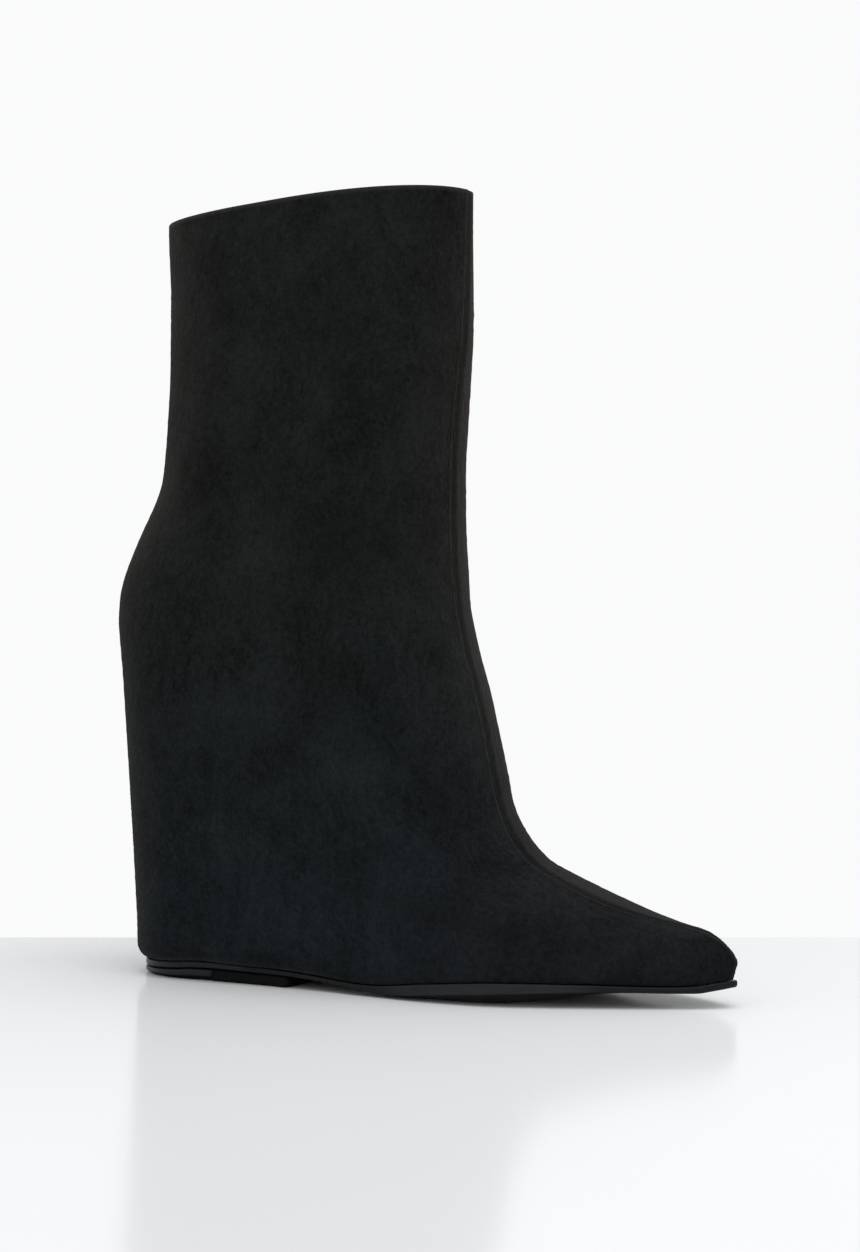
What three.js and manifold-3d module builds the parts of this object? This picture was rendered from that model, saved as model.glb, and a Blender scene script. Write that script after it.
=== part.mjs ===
// Ankle boot for the right foot, with a pointed toe and a wedge hidden inside the upper.
// Millimetres. X runs from heel to toe, Y from the outer (lateral) to the inner (medial) side, Z up.
import * as THREE from "three";
import ManifoldModule from "manifold-3d";

const wasm = await ManifoldModule();
wasm.setup();
const { Manifold, Mesh: SolidMesh } = wasm;

// Driving sizes
const LENGTH = 225;         // heel bulge to toe tip
const HEIGHT = 263;         // floor to the middle of the collar
const BALL_WIDTH = 70.3;    // widest part of the forefoot
const HEEL_WIDTH = 57;      // widest part of the heel, low down
const SHAFT_WIDTH = 60;     // shaft, side to side
const BULGE = 122;          // height at which the heel reaches furthest back
const INSTEP = 60;          // height where vamp turns into shin
const FOOT_RISE = 104;      // footbed above the floor under the heel
const BALL_RISE = 12;       // footbed above the floor under the ball
const TOE_RISE = 7.4;       // lower edge of the sole above the floor at the toe tip
const LIFT = 4.5;           // heel lift at its front face
const SOLE = 3.2;           // outsole edge
const WALL = 2;             // upper
const INSOLE = 2.2;
const MARGIN = 4;           // what the upper turns under on to the sole
const SEAM_RAISE = 0.55;    // folded edges beside the front seam
const COLLAR_RISE = 5.3;    // front of the collar over its back
const GAP = 0.3;            // between pieces that meet
const BREAST = 0.213;       // front of the block round the heel, share of LENGTH
const PLATE_FRONT = 0.347;  // front of the plate under it, share of LENGTH
const BLOCK_STEP = 1.6;     // how far the block stands out over the plate
const BLOCK_FOOT = 0.38;    // lower edge of the block, share of the lift's height

// Centre of the back, up to the bulge: up in shares of BULGE, x in shares of LENGTH
const HEEL_BACK = [
  { up: 0.000, x: 0.0560 },
  { up: 0.045, x: 0.0440 },
  { up: 0.060, x: 0.0372 },
  { up: 0.088, x: 0.0335 },
  { up: 0.138, x: 0.0325 },
  { up: 0.252, x: 0.0284 },
  { up: 0.366, x: 0.0249 },
  { up: 0.480, x: 0.0213 },
  { up: 0.593, x: 0.0182 },
  { up: 0.707, x: 0.0145 },
  { up: 0.829, x: 0.0098 },
  { up: 0.943, x: 0.0030 },
  { up: 1.000, x: 0.0000 },
];

// Centre of the back, from the bulge to the collar: up in shares of HEIGHT - BULGE
const SHAFT_BACK = [
  { up: 0.049, x: 0.0010 },
  { up: 0.099, x: 0.0075 },
  { up: 0.148, x: 0.0191 },
  { up: 0.197, x: 0.0329 },
  { up: 0.246, x: 0.0489 },
  { up: 0.296, x: 0.0650 },
  { up: 0.345, x: 0.0750 },
  { up: 0.401, x: 0.0795 },
  { up: 0.479, x: 0.0830 },
  { up: 0.599, x: 0.0870 },
  { up: 0.697, x: 0.0874 },
  { up: 0.796, x: 0.0874 },
  { up: 0.873, x: 0.0850 },
  { up: 0.944, x: 0.0827 },
  { up: 1.010, x: 0.0822 },
];

// Crest of the shin, collar down to the instep: up in shares of HEIGHT - INSTEP.
// nose: y of the crest, round: depth over which the sides round in, seam: y of the seam, all in
// shares of SHAFT_WIDTH. blunt: exponent of the rounding, 0.5 for an ellipse and less for a flat front.
const SHIN = [
  { up: 1.035, x: 0.5890, nose: 0.000, round: 1.033, blunt: 0.50, seam: -0.008 },
  { up: 0.941, x: 0.5876, nose: 0.000, round: 0.967, blunt: 0.49, seam: -0.012 },
  { up: 0.863, x: 0.5860, nose: 0.000, round: 0.833, blunt: 0.47, seam: -0.020 },
  { up: 0.775, x: 0.5825, nose: 0.000, round: 0.700, blunt: 0.44, seam: -0.025 },
  { up: 0.701, x: 0.5755, nose: 0.008, round: 0.633, blunt: 0.42, seam: -0.030 },
  { up: 0.627, x: 0.5690, nose: 0.017, round: 0.600, blunt: 0.41, seam: -0.033 },
  { up: 0.539, x: 0.5645, nose: 0.017, round: 0.600, blunt: 0.41, seam: -0.033 },
  { up: 0.466, x: 0.5645, nose: 0.017, round: 0.600, blunt: 0.41, seam: -0.033 },
  { up: 0.397, x: 0.5672, nose: 0.025, round: 0.617, blunt: 0.42, seam: -0.033 },
  { up: 0.328, x: 0.5724, nose: 0.033, round: 0.650, blunt: 0.43, seam: -0.025 },
  { up: 0.255, x: 0.5844, nose: 0.050, round: 0.633, blunt: 0.42, seam: -0.017 },
  { up: 0.191, x: 0.6000, nose: 0.067, round: 0.617, blunt: 0.41, seam: -0.008 },
  { up: 0.127, x: 0.6133, nose: 0.083, round: 0.600, blunt: 0.42, seam: 0.000 },
  { up: 0.059, x: 0.6267, nose: 0.100, round: 0.600, blunt: 0.44, seam: 0.000 },
];

// Crest of the vamp, instep to toe tip: up in shares of INSTEP, the rest in shares of BALL_WIDTH
const VAMP = [
  { up: 1.000, x: 0.6400, nose: 0.092, round: 0.512, blunt: 0.47, seam: 0.000 },
  { up: 0.833, x: 0.6622, nose: 0.106, round: 0.498, blunt: 0.48, seam: 0.000 },
  { up: 0.715, x: 0.6916, nose: 0.120, round: 0.441, blunt: 0.47, seam: 0.000 },
  { up: 0.643, x: 0.7293, nose: 0.128, round: 0.370, blunt: 0.45, seam: -0.011 },
  { up: 0.572, x: 0.7760, nose: 0.131, round: 0.313, blunt: 0.44, seam: -0.024 },
  { up: 0.513, x: 0.8204, nose: 0.125, round: 0.270, blunt: 0.43, seam: -0.028 },
  { up: 0.463, x: 0.8649, nose: 0.110, round: 0.242, blunt: 0.44, seam: -0.011 },
  { up: 0.423, x: 0.9093, nose: 0.085, round: 0.199, blunt: 0.46, seam: 0.019 },
  { up: 0.390, x: 0.9493, nose: 0.071, round: 0.171, blunt: 0.48, seam: 0.040 },
  { up: 0.347, x: 0.9750, nose: 0.057, round: 0.157, blunt: 0.50, seam: 0.043 },
  { up: 0.295, x: 0.9915, nose: 0.049, round: 0.142, blunt: 0.50, seam: 0.043 },
  { up: 0.240, x: 1.0000, nose: 0.043, round: 0.128, blunt: 0.50, seam: 0.043 },
  { up: 0.200, x: 0.9970, nose: 0.043, round: 0.114, blunt: 0.50, seam: 0.043 },
  { up: 0.140, x: 0.9915, nose: 0.043, round: 0.114, blunt: 0.50, seam: 0.043 },
];

// Foot outline at its widest: both sides in shares of the width at x, which is HEEL_WIDTH where
// ball is 0 and BALL_WIDTH where it is 1
const PLAN = [
  { x: -0.028, lateral: 0.505, medial: 0.525, ball: 0.00 },
  { x: 0.149, lateral: 0.505, medial: 0.525, ball: 0.00 },
  { x: 0.238, lateral: 0.507, medial: 0.510, ball: 0.00 },
  { x: 0.327, lateral: 0.479, medial: 0.463, ball: 0.20 },
  { x: 0.416, lateral: 0.444, medial: 0.430, ball: 0.61 },
  { x: 0.483, lateral: 0.437, medial: 0.458, ball: 0.88 },
  { x: 0.549, lateral: 0.444, medial: 0.505, ball: 1.00 },
  { x: 0.607, lateral: 0.452, medial: 0.543, ball: 1.00 },
  { x: 0.660, lateral: 0.445, medial: 0.555, ball: 1.00 },
  { x: 0.709, lateral: 0.411, medial: 0.538, ball: 1.00 },
  { x: 0.763, lateral: 0.347, medial: 0.481, ball: 1.00 },
  { x: 0.816, lateral: 0.275, medial: 0.404, ball: 1.00 },
  { x: 0.869, lateral: 0.198, medial: 0.316, ball: 1.00 },
  { x: 0.914, lateral: 0.131, medial: 0.239, ball: 1.00 },
  { x: 0.954, lateral: 0.070, medial: 0.165, ball: 1.00 },
  { x: 0.985, lateral: 0.021, medial: 0.109, ball: 1.00 },
  { x: 1.007, lateral: -0.011, medial: 0.071, ball: 1.00 },
];

// Shaft: up in shares of HEIGHT, sides and the depth over which the back rounds in, in shares of SHAFT_WIDTH
const SHAFT = [
  { up: 0.02, lateral: 0.483, medial: 0.467, round: 0.45 },
  { up: 0.15, lateral: 0.525, medial: 0.508, round: 0.50 },
  { up: 0.30, lateral: 0.550, medial: 0.533, round: 0.55 },
  { up: 0.42, lateral: 0.558, medial: 0.550, round: 0.58 },
  { up: 0.50, lateral: 0.550, medial: 0.550, round: 0.62 },
  { up: 0.59, lateral: 0.525, medial: 0.525, round: 0.67 },
  { up: 0.72, lateral: 0.508, medial: 0.508, round: 0.70 },
  { up: 0.85, lateral: 0.500, medial: 0.500, round: 0.73 },
  { up: 1.00, lateral: 0.492, medial: 0.492, round: 0.77 },
];

// Outsole: lower edge at its rim and the tread in the middle, as shares of LIFT or of TOE_RISE,
// and the thickness of the edge in shares of SOLE
const OUTSOLE = [
  { x: 0.000, rimLift: 0.47, rimToe: 0.00, treadLift: 0.47, treadToe: 0.00, thick: 0.75 },
  { x: 0.060, rimLift: 0.53, rimToe: 0.00, treadLift: 0.53, treadToe: 0.00, thick: 0.75 },
  { x: 0.130, rimLift: 0.73, rimToe: 0.00, treadLift: 0.73, treadToe: 0.00, thick: 0.72 },
  { x: 0.200, rimLift: 0.94, rimToe: 0.00, treadLift: 0.94, treadToe: 0.00, thick: 0.72 },
  { x: 0.250, rimLift: 0.91, rimToe: 0.00, treadLift: 0.91, treadToe: 0.00, thick: 0.64 },
  { x: 0.290, rimLift: 0.86, rimToe: 0.00, treadLift: 0.86, treadToe: 0.00, thick: 0.64 },
  { x: 0.350, rimLift: 0.84, rimToe: 0.00, treadLift: 0.84, treadToe: 0.00, thick: 0.56 },
  { x: 0.390, rimLift: 0.78, rimToe: 0.00, treadLift: 0.72, treadToe: 0.00, thick: 0.48 },
  { x: 0.425, rimLift: 0.66, rimToe: 0.00, treadLift: 0.54, treadToe: 0.00, thick: 0.45 },
  { x: 0.460, rimLift: 0.48, rimToe: 0.00, treadLift: 0.32, treadToe: 0.00, thick: 0.53 },
  { x: 0.490, rimLift: 0.33, rimToe: 0.00, treadLift: 0.12, treadToe: 0.00, thick: 0.70 },
  { x: 0.515, rimLift: 0.28, rimToe: 0.00, treadLift: 0.00, treadToe: 0.00, thick: 0.85 },
  { x: 0.545, rimLift: 0.30, rimToe: 0.00, treadLift: 0.00, treadToe: 0.00, thick: 1.03 },
  { x: 0.570, rimLift: 0.41, rimToe: 0.00, treadLift: 0.00, treadToe: 0.00, thick: 1.11 },
  { x: 0.600, rimLift: 0.54, rimToe: 0.00, treadLift: 0.00, treadToe: 0.00, thick: 1.11 },
  { x: 0.635, rimLift: 0.69, rimToe: 0.00, treadLift: 0.00, treadToe: 0.00, thick: 1.11 },
  { x: 0.670, rimLift: 0.81, rimToe: 0.00, treadLift: 0.00, treadToe: 0.00, thick: 1.12 },
  { x: 0.705, rimLift: 0.72, rimToe: 0.12, treadLift: 0.14, treadToe: 0.02, thick: 1.04 },
  { x: 0.745, rimLift: 0.54, rimToe: 0.29, treadLift: 0.21, treadToe: 0.11, thick: 0.92 },
  { x: 0.785, rimLift: 0.31, rimToe: 0.48, treadLift: 0.18, treadToe: 0.28, thick: 0.77 },
  { x: 0.830, rimLift: 0.00, rimToe: 0.70, treadLift: 0.00, treadToe: 0.53, thick: 0.66 },
  { x: 0.880, rimLift: 0.00, rimToe: 0.69, treadLift: 0.00, treadToe: 0.61, thick: 0.59 },
  { x: 0.920, rimLift: 0.00, rimToe: 0.67, treadLift: 0.00, treadToe: 0.62, thick: 0.62 },
  { x: 0.950, rimLift: 0.00, rimToe: 0.67, treadLift: 0.00, treadToe: 0.64, thick: 0.69 },
  { x: 0.975, rimLift: 0.00, rimToe: 0.78, treadLift: 0.00, treadToe: 0.76, thick: 0.75 },
  { x: 1.010, rimLift: 0.00, rimToe: 0.98, treadLift: 0.00, treadToe: 0.96, thick: 0.55 },
];

// How far the bottom of the upper tucks in, and the sole edge stands out from there, in shares of MARGIN
const TUCK = [
  { x: 0.00, inward: 1.15, outward: 0.05 },
  { x: 0.09, inward: 1.15, outward: 0.25 },
  { x: 0.24, inward: 1.10, outward: -0.05 },
  { x: 0.46, inward: 0.50, outward: 0.40 },
  { x: 0.60, inward: 0.30, outward: 0.42 },
  { x: 1.01, inward: 0.25, outward: 0.38 },
];

// Footbed: heel and ball are shares of FOOT_RISE and of BALL_RISE, toe of TOE_RISE
const FOOTBED = [
  { x: -0.02, heel: 1.00, ball: 0.00, toe: 0.00 },
  { x: 0.06, heel: 0.995, ball: 0.00, toe: 0.00 },
  { x: 0.14, heel: 0.975, ball: 0.00, toe: 0.00 },
  { x: 0.20, heel: 0.925, ball: 0.00, toe: 0.00 },
  { x: 0.27, heel: 0.795, ball: 0.05, toe: 0.00 },
  { x: 0.34, heel: 0.625, ball: 0.12, toe: 0.00 },
  { x: 0.41, heel: 0.440, ball: 0.25, toe: 0.00 },
  { x: 0.48, heel: 0.255, ball: 0.46, toe: 0.00 },
  { x: 0.54, heel: 0.115, ball: 0.70, toe: 0.00 },
  { x: 0.59, heel: 0.035, ball: 0.88, toe: 0.00 },
  { x: 0.64, heel: 0.00, ball: 0.98, toe: 0.00 },
  { x: 0.70, heel: 0.00, ball: 1.00, toe: 0.08 },
  { x: 0.78, heel: 0.00, ball: 0.96, toe: 0.26 },
  { x: 0.86, heel: 0.00, ball: 0.90, toe: 0.48 },
  { x: 0.95, heel: 0.00, ball: 0.82, toe: 0.78 },
  { x: 1.05, heel: 0.00, ball: 0.78, toe: 1.00 },
];

const SIDE_COLUMNS = 24;    // upper, from front seam to back on each side
const CORE_COLUMNS = 24;    // the same on the pieces inside
const STATIONS = 38;        // outsole, heel to toe

const clamp = (value, low, high) => Math.min(high, Math.max(low, value));

function smooth(t) {
  const c = clamp(t, 0, 1);
  return c * c * (3 - 2 * c);
}

// Smooth curve through points with rising keys, which never overshoots between two of them
function curve(keys, values) {
  const n = keys.length;
  const step = [];
  const rate = [];
  for (let i = 0; i < n - 1; i++) {
    step.push(keys[i + 1] - keys[i]);
    rate.push((values[i + 1] - values[i]) / step[i]);
  }
  const slope = new Array(n).fill(0);
  slope[0] = rate[0];
  slope[n - 1] = rate[n - 2];
  for (let i = 1; i < n - 1; i++) {
    if (rate[i - 1] * rate[i] > 0) {
      const a = 2 * step[i] + step[i - 1];
      const b = step[i] + 2 * step[i - 1];
      slope[i] = (a + b) / (a / rate[i - 1] + b / rate[i]);
    }
  }
  return (key) => {
    const k = clamp(key, keys[0], keys[n - 1]);
    let i = 0;
    while (i < n - 2 && k > keys[i + 1]) i++;
    const t = (k - keys[i]) / step[i];
    const u = 1 - t;
    return (1 + 2 * t) * u * u * values[i] + t * u * u * step[i] * slope[i]
      + t * t * (3 - 2 * t) * values[i + 1] - t * t * u * step[i] * slope[i + 1];
  };
}

const column = (rows, name, unit = 1) => rows.map((row) => row[name] * unit);

// Back of the boot: x at a height
const backRows = [
  ...HEEL_BACK.map((row) => ({ z: row.up * BULGE, x: row.x * LENGTH })),
  ...SHAFT_BACK.map((row) => ({ z: BULGE + row.up * (HEIGHT - BULGE), x: row.x * LENGTH })),
];
const backAt = curve(column(backRows, "z"), column(backRows, "x"));

// Crest of the front, from the collar to the toe, by its own length
const crestRows = [
  ...SHIN.map((row) => ({
    x: row.x * LENGTH,
    z: INSTEP + row.up * (HEIGHT - INSTEP),
    nose: row.nose * SHAFT_WIDTH,
    round: row.round * SHAFT_WIDTH,
    seam: row.seam * SHAFT_WIDTH,
    blunt: row.blunt,
  })),
  ...VAMP.map((row) => ({
    x: row.x * LENGTH,
    z: row.up * INSTEP,
    nose: row.nose * BALL_WIDTH,
    round: row.round * BALL_WIDTH,
    seam: row.seam * BALL_WIDTH,
    blunt: row.blunt,
  })),
];
const crest = (() => {
  const run = [0];
  for (let i = 1; i < crestRows.length; i++) {
    const a = crestRows[i - 1];
    const b = crestRows[i];
    run.push(run[i - 1] + Math.hypot(b.x - a.x, b.z - a.z));
  }
  const names = ["x", "z", "nose", "round", "seam", "blunt"];
  const curves = names.map((name) => curve(run, column(crestRows, name)));
  const points = [];
  const count = 260;
  for (let i = 0; i <= count; i++) {
    const at = run[run.length - 1] * i / count;
    const point = {};
    names.forEach((name, k) => { point[name] = curves[k](at); });
    points.push(point);
  }
  return points;
})();

const planUnit = PLAN.map((row) => HEEL_WIDTH * (1 - row.ball) + BALL_WIDTH * row.ball);
const planX = column(PLAN, "x", LENGTH);
const lateralAt = curve(planX, PLAN.map((row, i) => -row.lateral * planUnit[i]));
const medialAt = curve(planX, PLAN.map((row, i) => row.medial * planUnit[i]));
const shaftZ = column(SHAFT, "up", HEIGHT);
const shaftLateral = curve(shaftZ, column(SHAFT, "lateral", SHAFT_WIDTH));
const shaftMedial = curve(shaftZ, column(SHAFT, "medial", SHAFT_WIDTH));
const shaftRound = curve(shaftZ, column(SHAFT, "round", SHAFT_WIDTH));
const soleX = column(OUTSOLE, "x", LENGTH);
const rimAt = curve(soleX, OUTSOLE.map((row) => row.rimLift * LIFT + row.rimToe * TOE_RISE));
const treadAt = curve(soleX, OUTSOLE.map((row) => row.treadLift * LIFT + row.treadToe * TOE_RISE));
const thickAt = curve(soleX, column(OUTSOLE, "thick", SOLE));
const tuckX = column(TUCK, "x", LENGTH);
const tuckAt = curve(tuckX, column(TUCK, "inward", MARGIN));
const outwardAt = curve(tuckX, column(TUCK, "outward", MARGIN));
const bedX = column(FOOTBED, "x", LENGTH);
const bedAt = curve(bedX, FOOTBED.map((row) =>
  row.heel * FOOT_RISE + row.ball * BALL_RISE + row.toe * TOE_RISE));

// Where the upper meets the sole
const featherAt = (x) => rimAt(x) + thickAt(x) + GAP;

// Levels run from the feather line, where level is 0, to the collar, where it is 1. Above the
// lowest part they are true heights, and near the top they tilt with the collar.
const LOWEST = featherAt(0);
const TILT_FROM = 0.76;     // level from which the lines tilt, a share
function heightAt(x, level) {
  const h = LOWEST + level * (HEIGHT - LOWEST);
  const low = (featherAt(x) - LOWEST) * (1 - smooth((h - LOWEST) / (0.16 * HEIGHT)));
  const tilt = smooth((level - TILT_FROM) / (1 - TILT_FROM));
  return h + low + COLLAR_RISE * tilt * (smooth((x / LENGTH - 0.13) / 0.46) - 0.81);
}

// Level at which a point of the crest lies
function levelOf(point) {
  let low = -0.05;
  let high = 1.2;
  for (let i = 0; i < 40; i++) {
    const mid = (low + high) / 2;
    if (heightAt(point.x, mid) < point.z) low = mid;
    else high = mid;
  }
  return (low + high) / 2;
}
crest.forEach((point) => { point.level = levelOf(point); });

// Mix of two crest points
function mixPoint(a, b, t) {
  const out = {};
  Object.keys(a).forEach((name) => { out[name] = a[name] + (b[name] - a[name]) * t; });
  return out;
}

function crestAtLevel(level) {
  for (let i = 1; i < crest.length; i++) {
    if (crest[i].level <= level) {
      const t = (crest[i - 1].level - level) / (crest[i - 1].level - crest[i].level);
      return mixPoint(crest[i - 1], crest[i], clamp(t, 0, 1));
    }
  }
  return crest[crest.length - 1];
}

// Nearest point of the crest in the side view, with its distance
function nearestCrest(x, z) {
  let best = Infinity;
  let found = null;
  for (let i = 1; i < crest.length; i++) {
    const a = crest[i - 1];
    const b = crest[i];
    const dx = b.x - a.x;
    const dz = b.z - a.z;
    const t = clamp(((x - a.x) * dx + (z - a.z) * dz) / (dx * dx + dz * dz), 0, 1);
    const distance = Math.hypot(x - a.x - t * dx, z - a.z - t * dz);
    if (distance < best) {
      best = distance;
      found = [a, b, t];
    }
  }
  return { distance: best, point: mixPoint(...found) };
}

const TUCK_HEIGHT = 0.04;   // share of BULGE over which the bottom rounds under

// Lateral and medial y of the upper at a station and a height
function sidesAt(x, z) {
  const foot = 1 - smooth((z - 0.05 * HEIGHT) / (0.32 * HEIGHT));
  const q = clamp((z - featherAt(x)) / (TUCK_HEIGHT * BULGE), 0, 1);
  const tuck = tuckAt(x) * (1 - Math.sqrt(1 - (1 - q) * (1 - q)));
  const lateral = lateralAt(x) * foot - shaftLateral(z) * (1 - foot) + tuck;
  const medial = medialAt(x) * foot + shaftMedial(z) * (1 - foot) - tuck;
  const near = nearestCrest(x, z);
  const front = 1 - clamp(near.distance / near.point.round, 0, 1);
  const behind = 1 - clamp((x - backAt(z)) / shaftRound(z), 0, 1);
  const ends = (1 - front * front) ** near.point.blunt * Math.sqrt(1 - behind * behind);
  const middle = near.point.nose * smooth((x / LENGTH - 0.24) / 0.22);
  return {
    lateral: middle + (lateral - middle) * ends,
    medial: middle + (medial - middle) * ends,
  };
}

// One level as two polylines, nose to back along each side
function levelSides(level, count) {
  const nose = crestAtLevel(level);
  let back = 0;
  for (let i = 0; i < 20; i++) back = backAt(heightAt(back, level));
  const lateral = [];
  const medial = [];
  for (let i = 0; i <= count; i++) {
    const x = back + (nose.x - back) * (1 + Math.cos(Math.PI * i / count)) / 2;
    const z = heightAt(x, level);
    const end = i === 0 ? { lateral: nose.nose, medial: nose.nose } : { lateral: 0, medial: 0 };
    const y = i === 0 || i === count ? end : sidesAt(x, z);
    lateral.push([x, y.lateral, z]);
    medial.push([x, y.medial, z]);
  }
  return { lateral, medial, nose };
}

// Points along a polyline at the given lengths
function pointsAlong(line, lengthsOf) {
  const run = [0];
  for (let i = 1; i < line.length; i++) {
    const [a, b] = [line[i - 1], line[i]];
    run.push(run[i - 1] + Math.hypot(b[0] - a[0], b[1] - a[1], b[2] - a[2]));
  }
  const total = run[run.length - 1];
  let i = 1;
  return lengthsOf(total).map((at) => {
    while (i < line.length - 1 && run[i] < at) i++;
    const t = clamp((at - run[i - 1]) / Math.max(run[i] - run[i - 1], 1e-9), 0, 1);
    return line[i - 1].map((value, k) => value + (line[i][k] - value) * t);
  });
}

// From the seam to the ridge beside it and to the ridge's foot, in shares of WALL
const RIDGE = [0.55 * WALL, 1.3 * WALL];

// Lengths along one side: the two ridge columns, then steps that are shorter at both ends
function sideLengths(total, columns, crowding) {
  const lengths = [0, ...RIDGE];
  const rest = columns - RIDGE.length;
  const from = RIDGE[1];
  for (let i = 1; i <= rest; i++) {
    const q = i / rest;
    const eased = q - crowding * Math.sin(2 * Math.PI * q) / (2 * Math.PI);
    lengths.push(from + (total - from) * eased);
  }
  return lengths;
}

// One level as a closed ring that starts on the front seam and runs round by the lateral side
function levelRing(level, columns, crowding) {
  const { lateral, medial, nose } = levelSides(level, 84);
  const shift = nose.seam - nose.nose;
  const seamSide = shift <= 0 ? lateral : medial;
  const otherSide = shift <= 0 ? medial : lateral;
  const at = nose.nose + shift;
  let k = 1;
  while (k < 40 && Math.abs(seamSide[k][1] - nose.nose) < Math.abs(shift)) k++;
  const [a, b] = [seamSide[k - 1], seamSide[k]];
  const t = b[1] === a[1] ? 0 : clamp((at - a[1]) / (b[1] - a[1]), 0, 1);
  const start = a.map((value, i) => value + (b[i] - value) * t);
  const first = [start, ...seamSide.slice(k)];
  const second = [start, ...seamSide.slice(0, k).reverse(), ...otherSide.slice(1)];
  const [outer, inner] = shift <= 0 ? [first, second] : [second, first];
  const lengths = (total) => sideLengths(total, columns, crowding);
  const left = pointsAlong(outer, lengths);
  const right = pointsAlong(inner, lengths);
  return [...left, ...right.slice(1, -1).reverse()];
}

const minus = (a, b) => [a[0] - b[0], a[1] - b[1], a[2] - b[2]];
const plus = (a, b, k = 1) => [a[0] + b[0] * k, a[1] + b[1] * k, a[2] + b[2] * k];
const cross = (a, b) => [
  a[1] * b[2] - a[2] * b[1],
  a[2] * b[0] - a[0] * b[2],
  a[0] * b[1] - a[1] * b[0],
];

function unit(v) {
  const size = Math.hypot(...v) || 1;
  return [v[0] / size, v[1] / size, v[2] / size];
}

// Outward normals of a grid of rings
function normalsOf(rings) {
  const wide = rings[0].length;
  return rings.map((ring, j) => ring.map((point, i) => {
    const along = minus(ring[(i + 1) % wide], ring[(i + wide - 1) % wide]);
    const up = minus(rings[Math.min(j + 1, rings.length - 1)][i], rings[Math.max(j - 1, 0)][i]);
    return unit(cross(up, along));
  }));
}

const offsetBy = (rings, normals, amount) =>
  rings.map((ring, j) => ring.map((point, i) => plus(point, normals[j][i], amount(point, i, j))));

// Ring at the bottom, drawn in toward the middle, and less so at a tip that fades out
function turnedUnder(ring, inward, tipFades) {
  const wide = ring.length;
  return ring.map((point, i) => {
    const mate = ring[(wide - i) % wide];
    const span = Math.abs(point[1] - mate[1]);
    const along = minus(ring[(i + 1) % wide], ring[(i + wide - 1) % wide]);
    const n = unit([along[1], -along[0], 0]);
    const tip = tipFades ? smooth((0.94 - point[0] / LENGTH) / 0.08) : 1;
    const room = point[0] < 0.2 * LENGTH ? inward : Math.min(inward, 0.28 * span);
    const step = room * tip;
    const x = point[0] + n[0] * step;
    return [x, point[1] + n[1] * step, featherAt(x)];
  });
}

// Levels of the upper: close together over the foot, wider on the shaft
function levelsFor(low, mid, high) {
  const levels = [];
  for (let i = 0; i < low; i++) levels.push(0.02 * (1 - Math.cos(Math.PI * 0.5 * i / low)));
  for (let i = 0; i < mid; i++) levels.push(0.02 + 0.16 * (i / mid) ** 1.05);
  for (let i = 0; i <= high; i++) levels.push(0.18 + 0.82 * i / high);
  return levels;
}

function facesOfTube(wide, tall, closedUp) {
  const faces = [];
  const rows = closedUp ? tall : tall - 1;
  for (let j = 0; j < rows; j++) {
    for (let i = 0; i < wide; i++) {
      const a = j * wide + i;
      const b = j * wide + (i + 1) % wide;
      const c = ((j + 1) % tall) * wide + i;
      const d = ((j + 1) % tall) * wide + (i + 1) % wide;
      faces.push(a, c, b, b, c, d);
    }
  }
  return faces;
}

// Solid between a stack of rings, capped across from one side to the other
function cappedSolid(rings) {
  const wide = rings[0].length;
  const faces = facesOfTube(wide, rings.length, false);
  const half = wide / 2;
  const top = (rings.length - 1) * wide;
  const mate = (i) => (wide - i) % wide;
  for (let i = 0; i < half; i++) {
    const [a, b] = [i, i + 1];
    const [c, d] = [mate(i), mate(i + 1)];
    if (i > 0) {
      faces.push(a, b, c);
      faces.push(top + a, top + c, top + b);
    }
    if (i + 1 < half) {
      faces.push(b, d, c);
      faces.push(top + b, top + c, top + d);
    }
  }
  return { points: rings.flat(), faces };
}

function meshOf(name, colour, roughness, { points, faces }, shift) {
  const geometry = new THREE.BufferGeometry();
  const numbers = new Float32Array(points.length * 3);
  points.forEach((point, i) => {
    numbers[i * 3] = point[0] - shift[0];
    numbers[i * 3 + 1] = point[1] - shift[1];
    numbers[i * 3 + 2] = point[2] - shift[2];
  });
  geometry.setAttribute("position", new THREE.BufferAttribute(numbers, 3));
  geometry.setIndex(faces);
  geometry.computeVertexNormals();
  const material = new THREE.MeshStandardMaterial({ color: colour, roughness });
  const mesh = new THREE.Mesh(geometry, material);
  mesh.name = name;
  return mesh;
}

function solidOf({ points, faces }) {
  const mesh = new SolidMesh({
    numProp: 3,
    vertProperties: Float32Array.from(points.flat()),
    triVerts: Uint32Array.from(faces),
  });
  mesh.merge();
  return new Manifold(mesh);
}

function dataOf(solid) {
  const mesh = solid.getMesh();
  const points = [];
  for (let i = 0; i < mesh.vertProperties.length; i += mesh.numProp) {
    points.push([mesh.vertProperties[i], mesh.vertProperties[i + 1], mesh.vertProperties[i + 2]]);
  }
  return { points, faces: Array.from(mesh.triVerts) };
}

// Upper: outer skin with the raised seam, the wall's inner skin, and a rim at collar and bottom
function upperSolid() {
  const rings = levelsFor(5, 15, 22).map((level) => levelRing(level, SIDE_COLUMNS, 0.62));
  rings.unshift(turnedUnder(rings[0], MARGIN, true));
  const normals = normalsOf(rings);
  const wide = rings[0].length;
  const tall = rings.length;
  const wallAt = (point) => -WALL * (1 - 0.3 * smooth((point[0] / LENGTH - 0.9) / 0.08));
  const inner = offsetBy(rings, normals, wallAt);
  const raised = offsetBy(rings, normals, (point, i, j) => {
    const beside = i === 1 || i === wide - 1;
    return beside && j > 5 ? SEAM_RAISE : 0;
  });
  const rim = raised[tall - 1].map((point, i) => {
    const mid = point.map((value, k) => (value + inner[tall - 1][i][k]) / 2);
    return [mid[0], mid[1], mid[2] + WALL * 0.2];
  });
  const stack = [...raised, rim, ...inner.reverse()];
  return { points: stack.flat(), faces: facesOfTube(wide, stack.length, true) };
}

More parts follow.
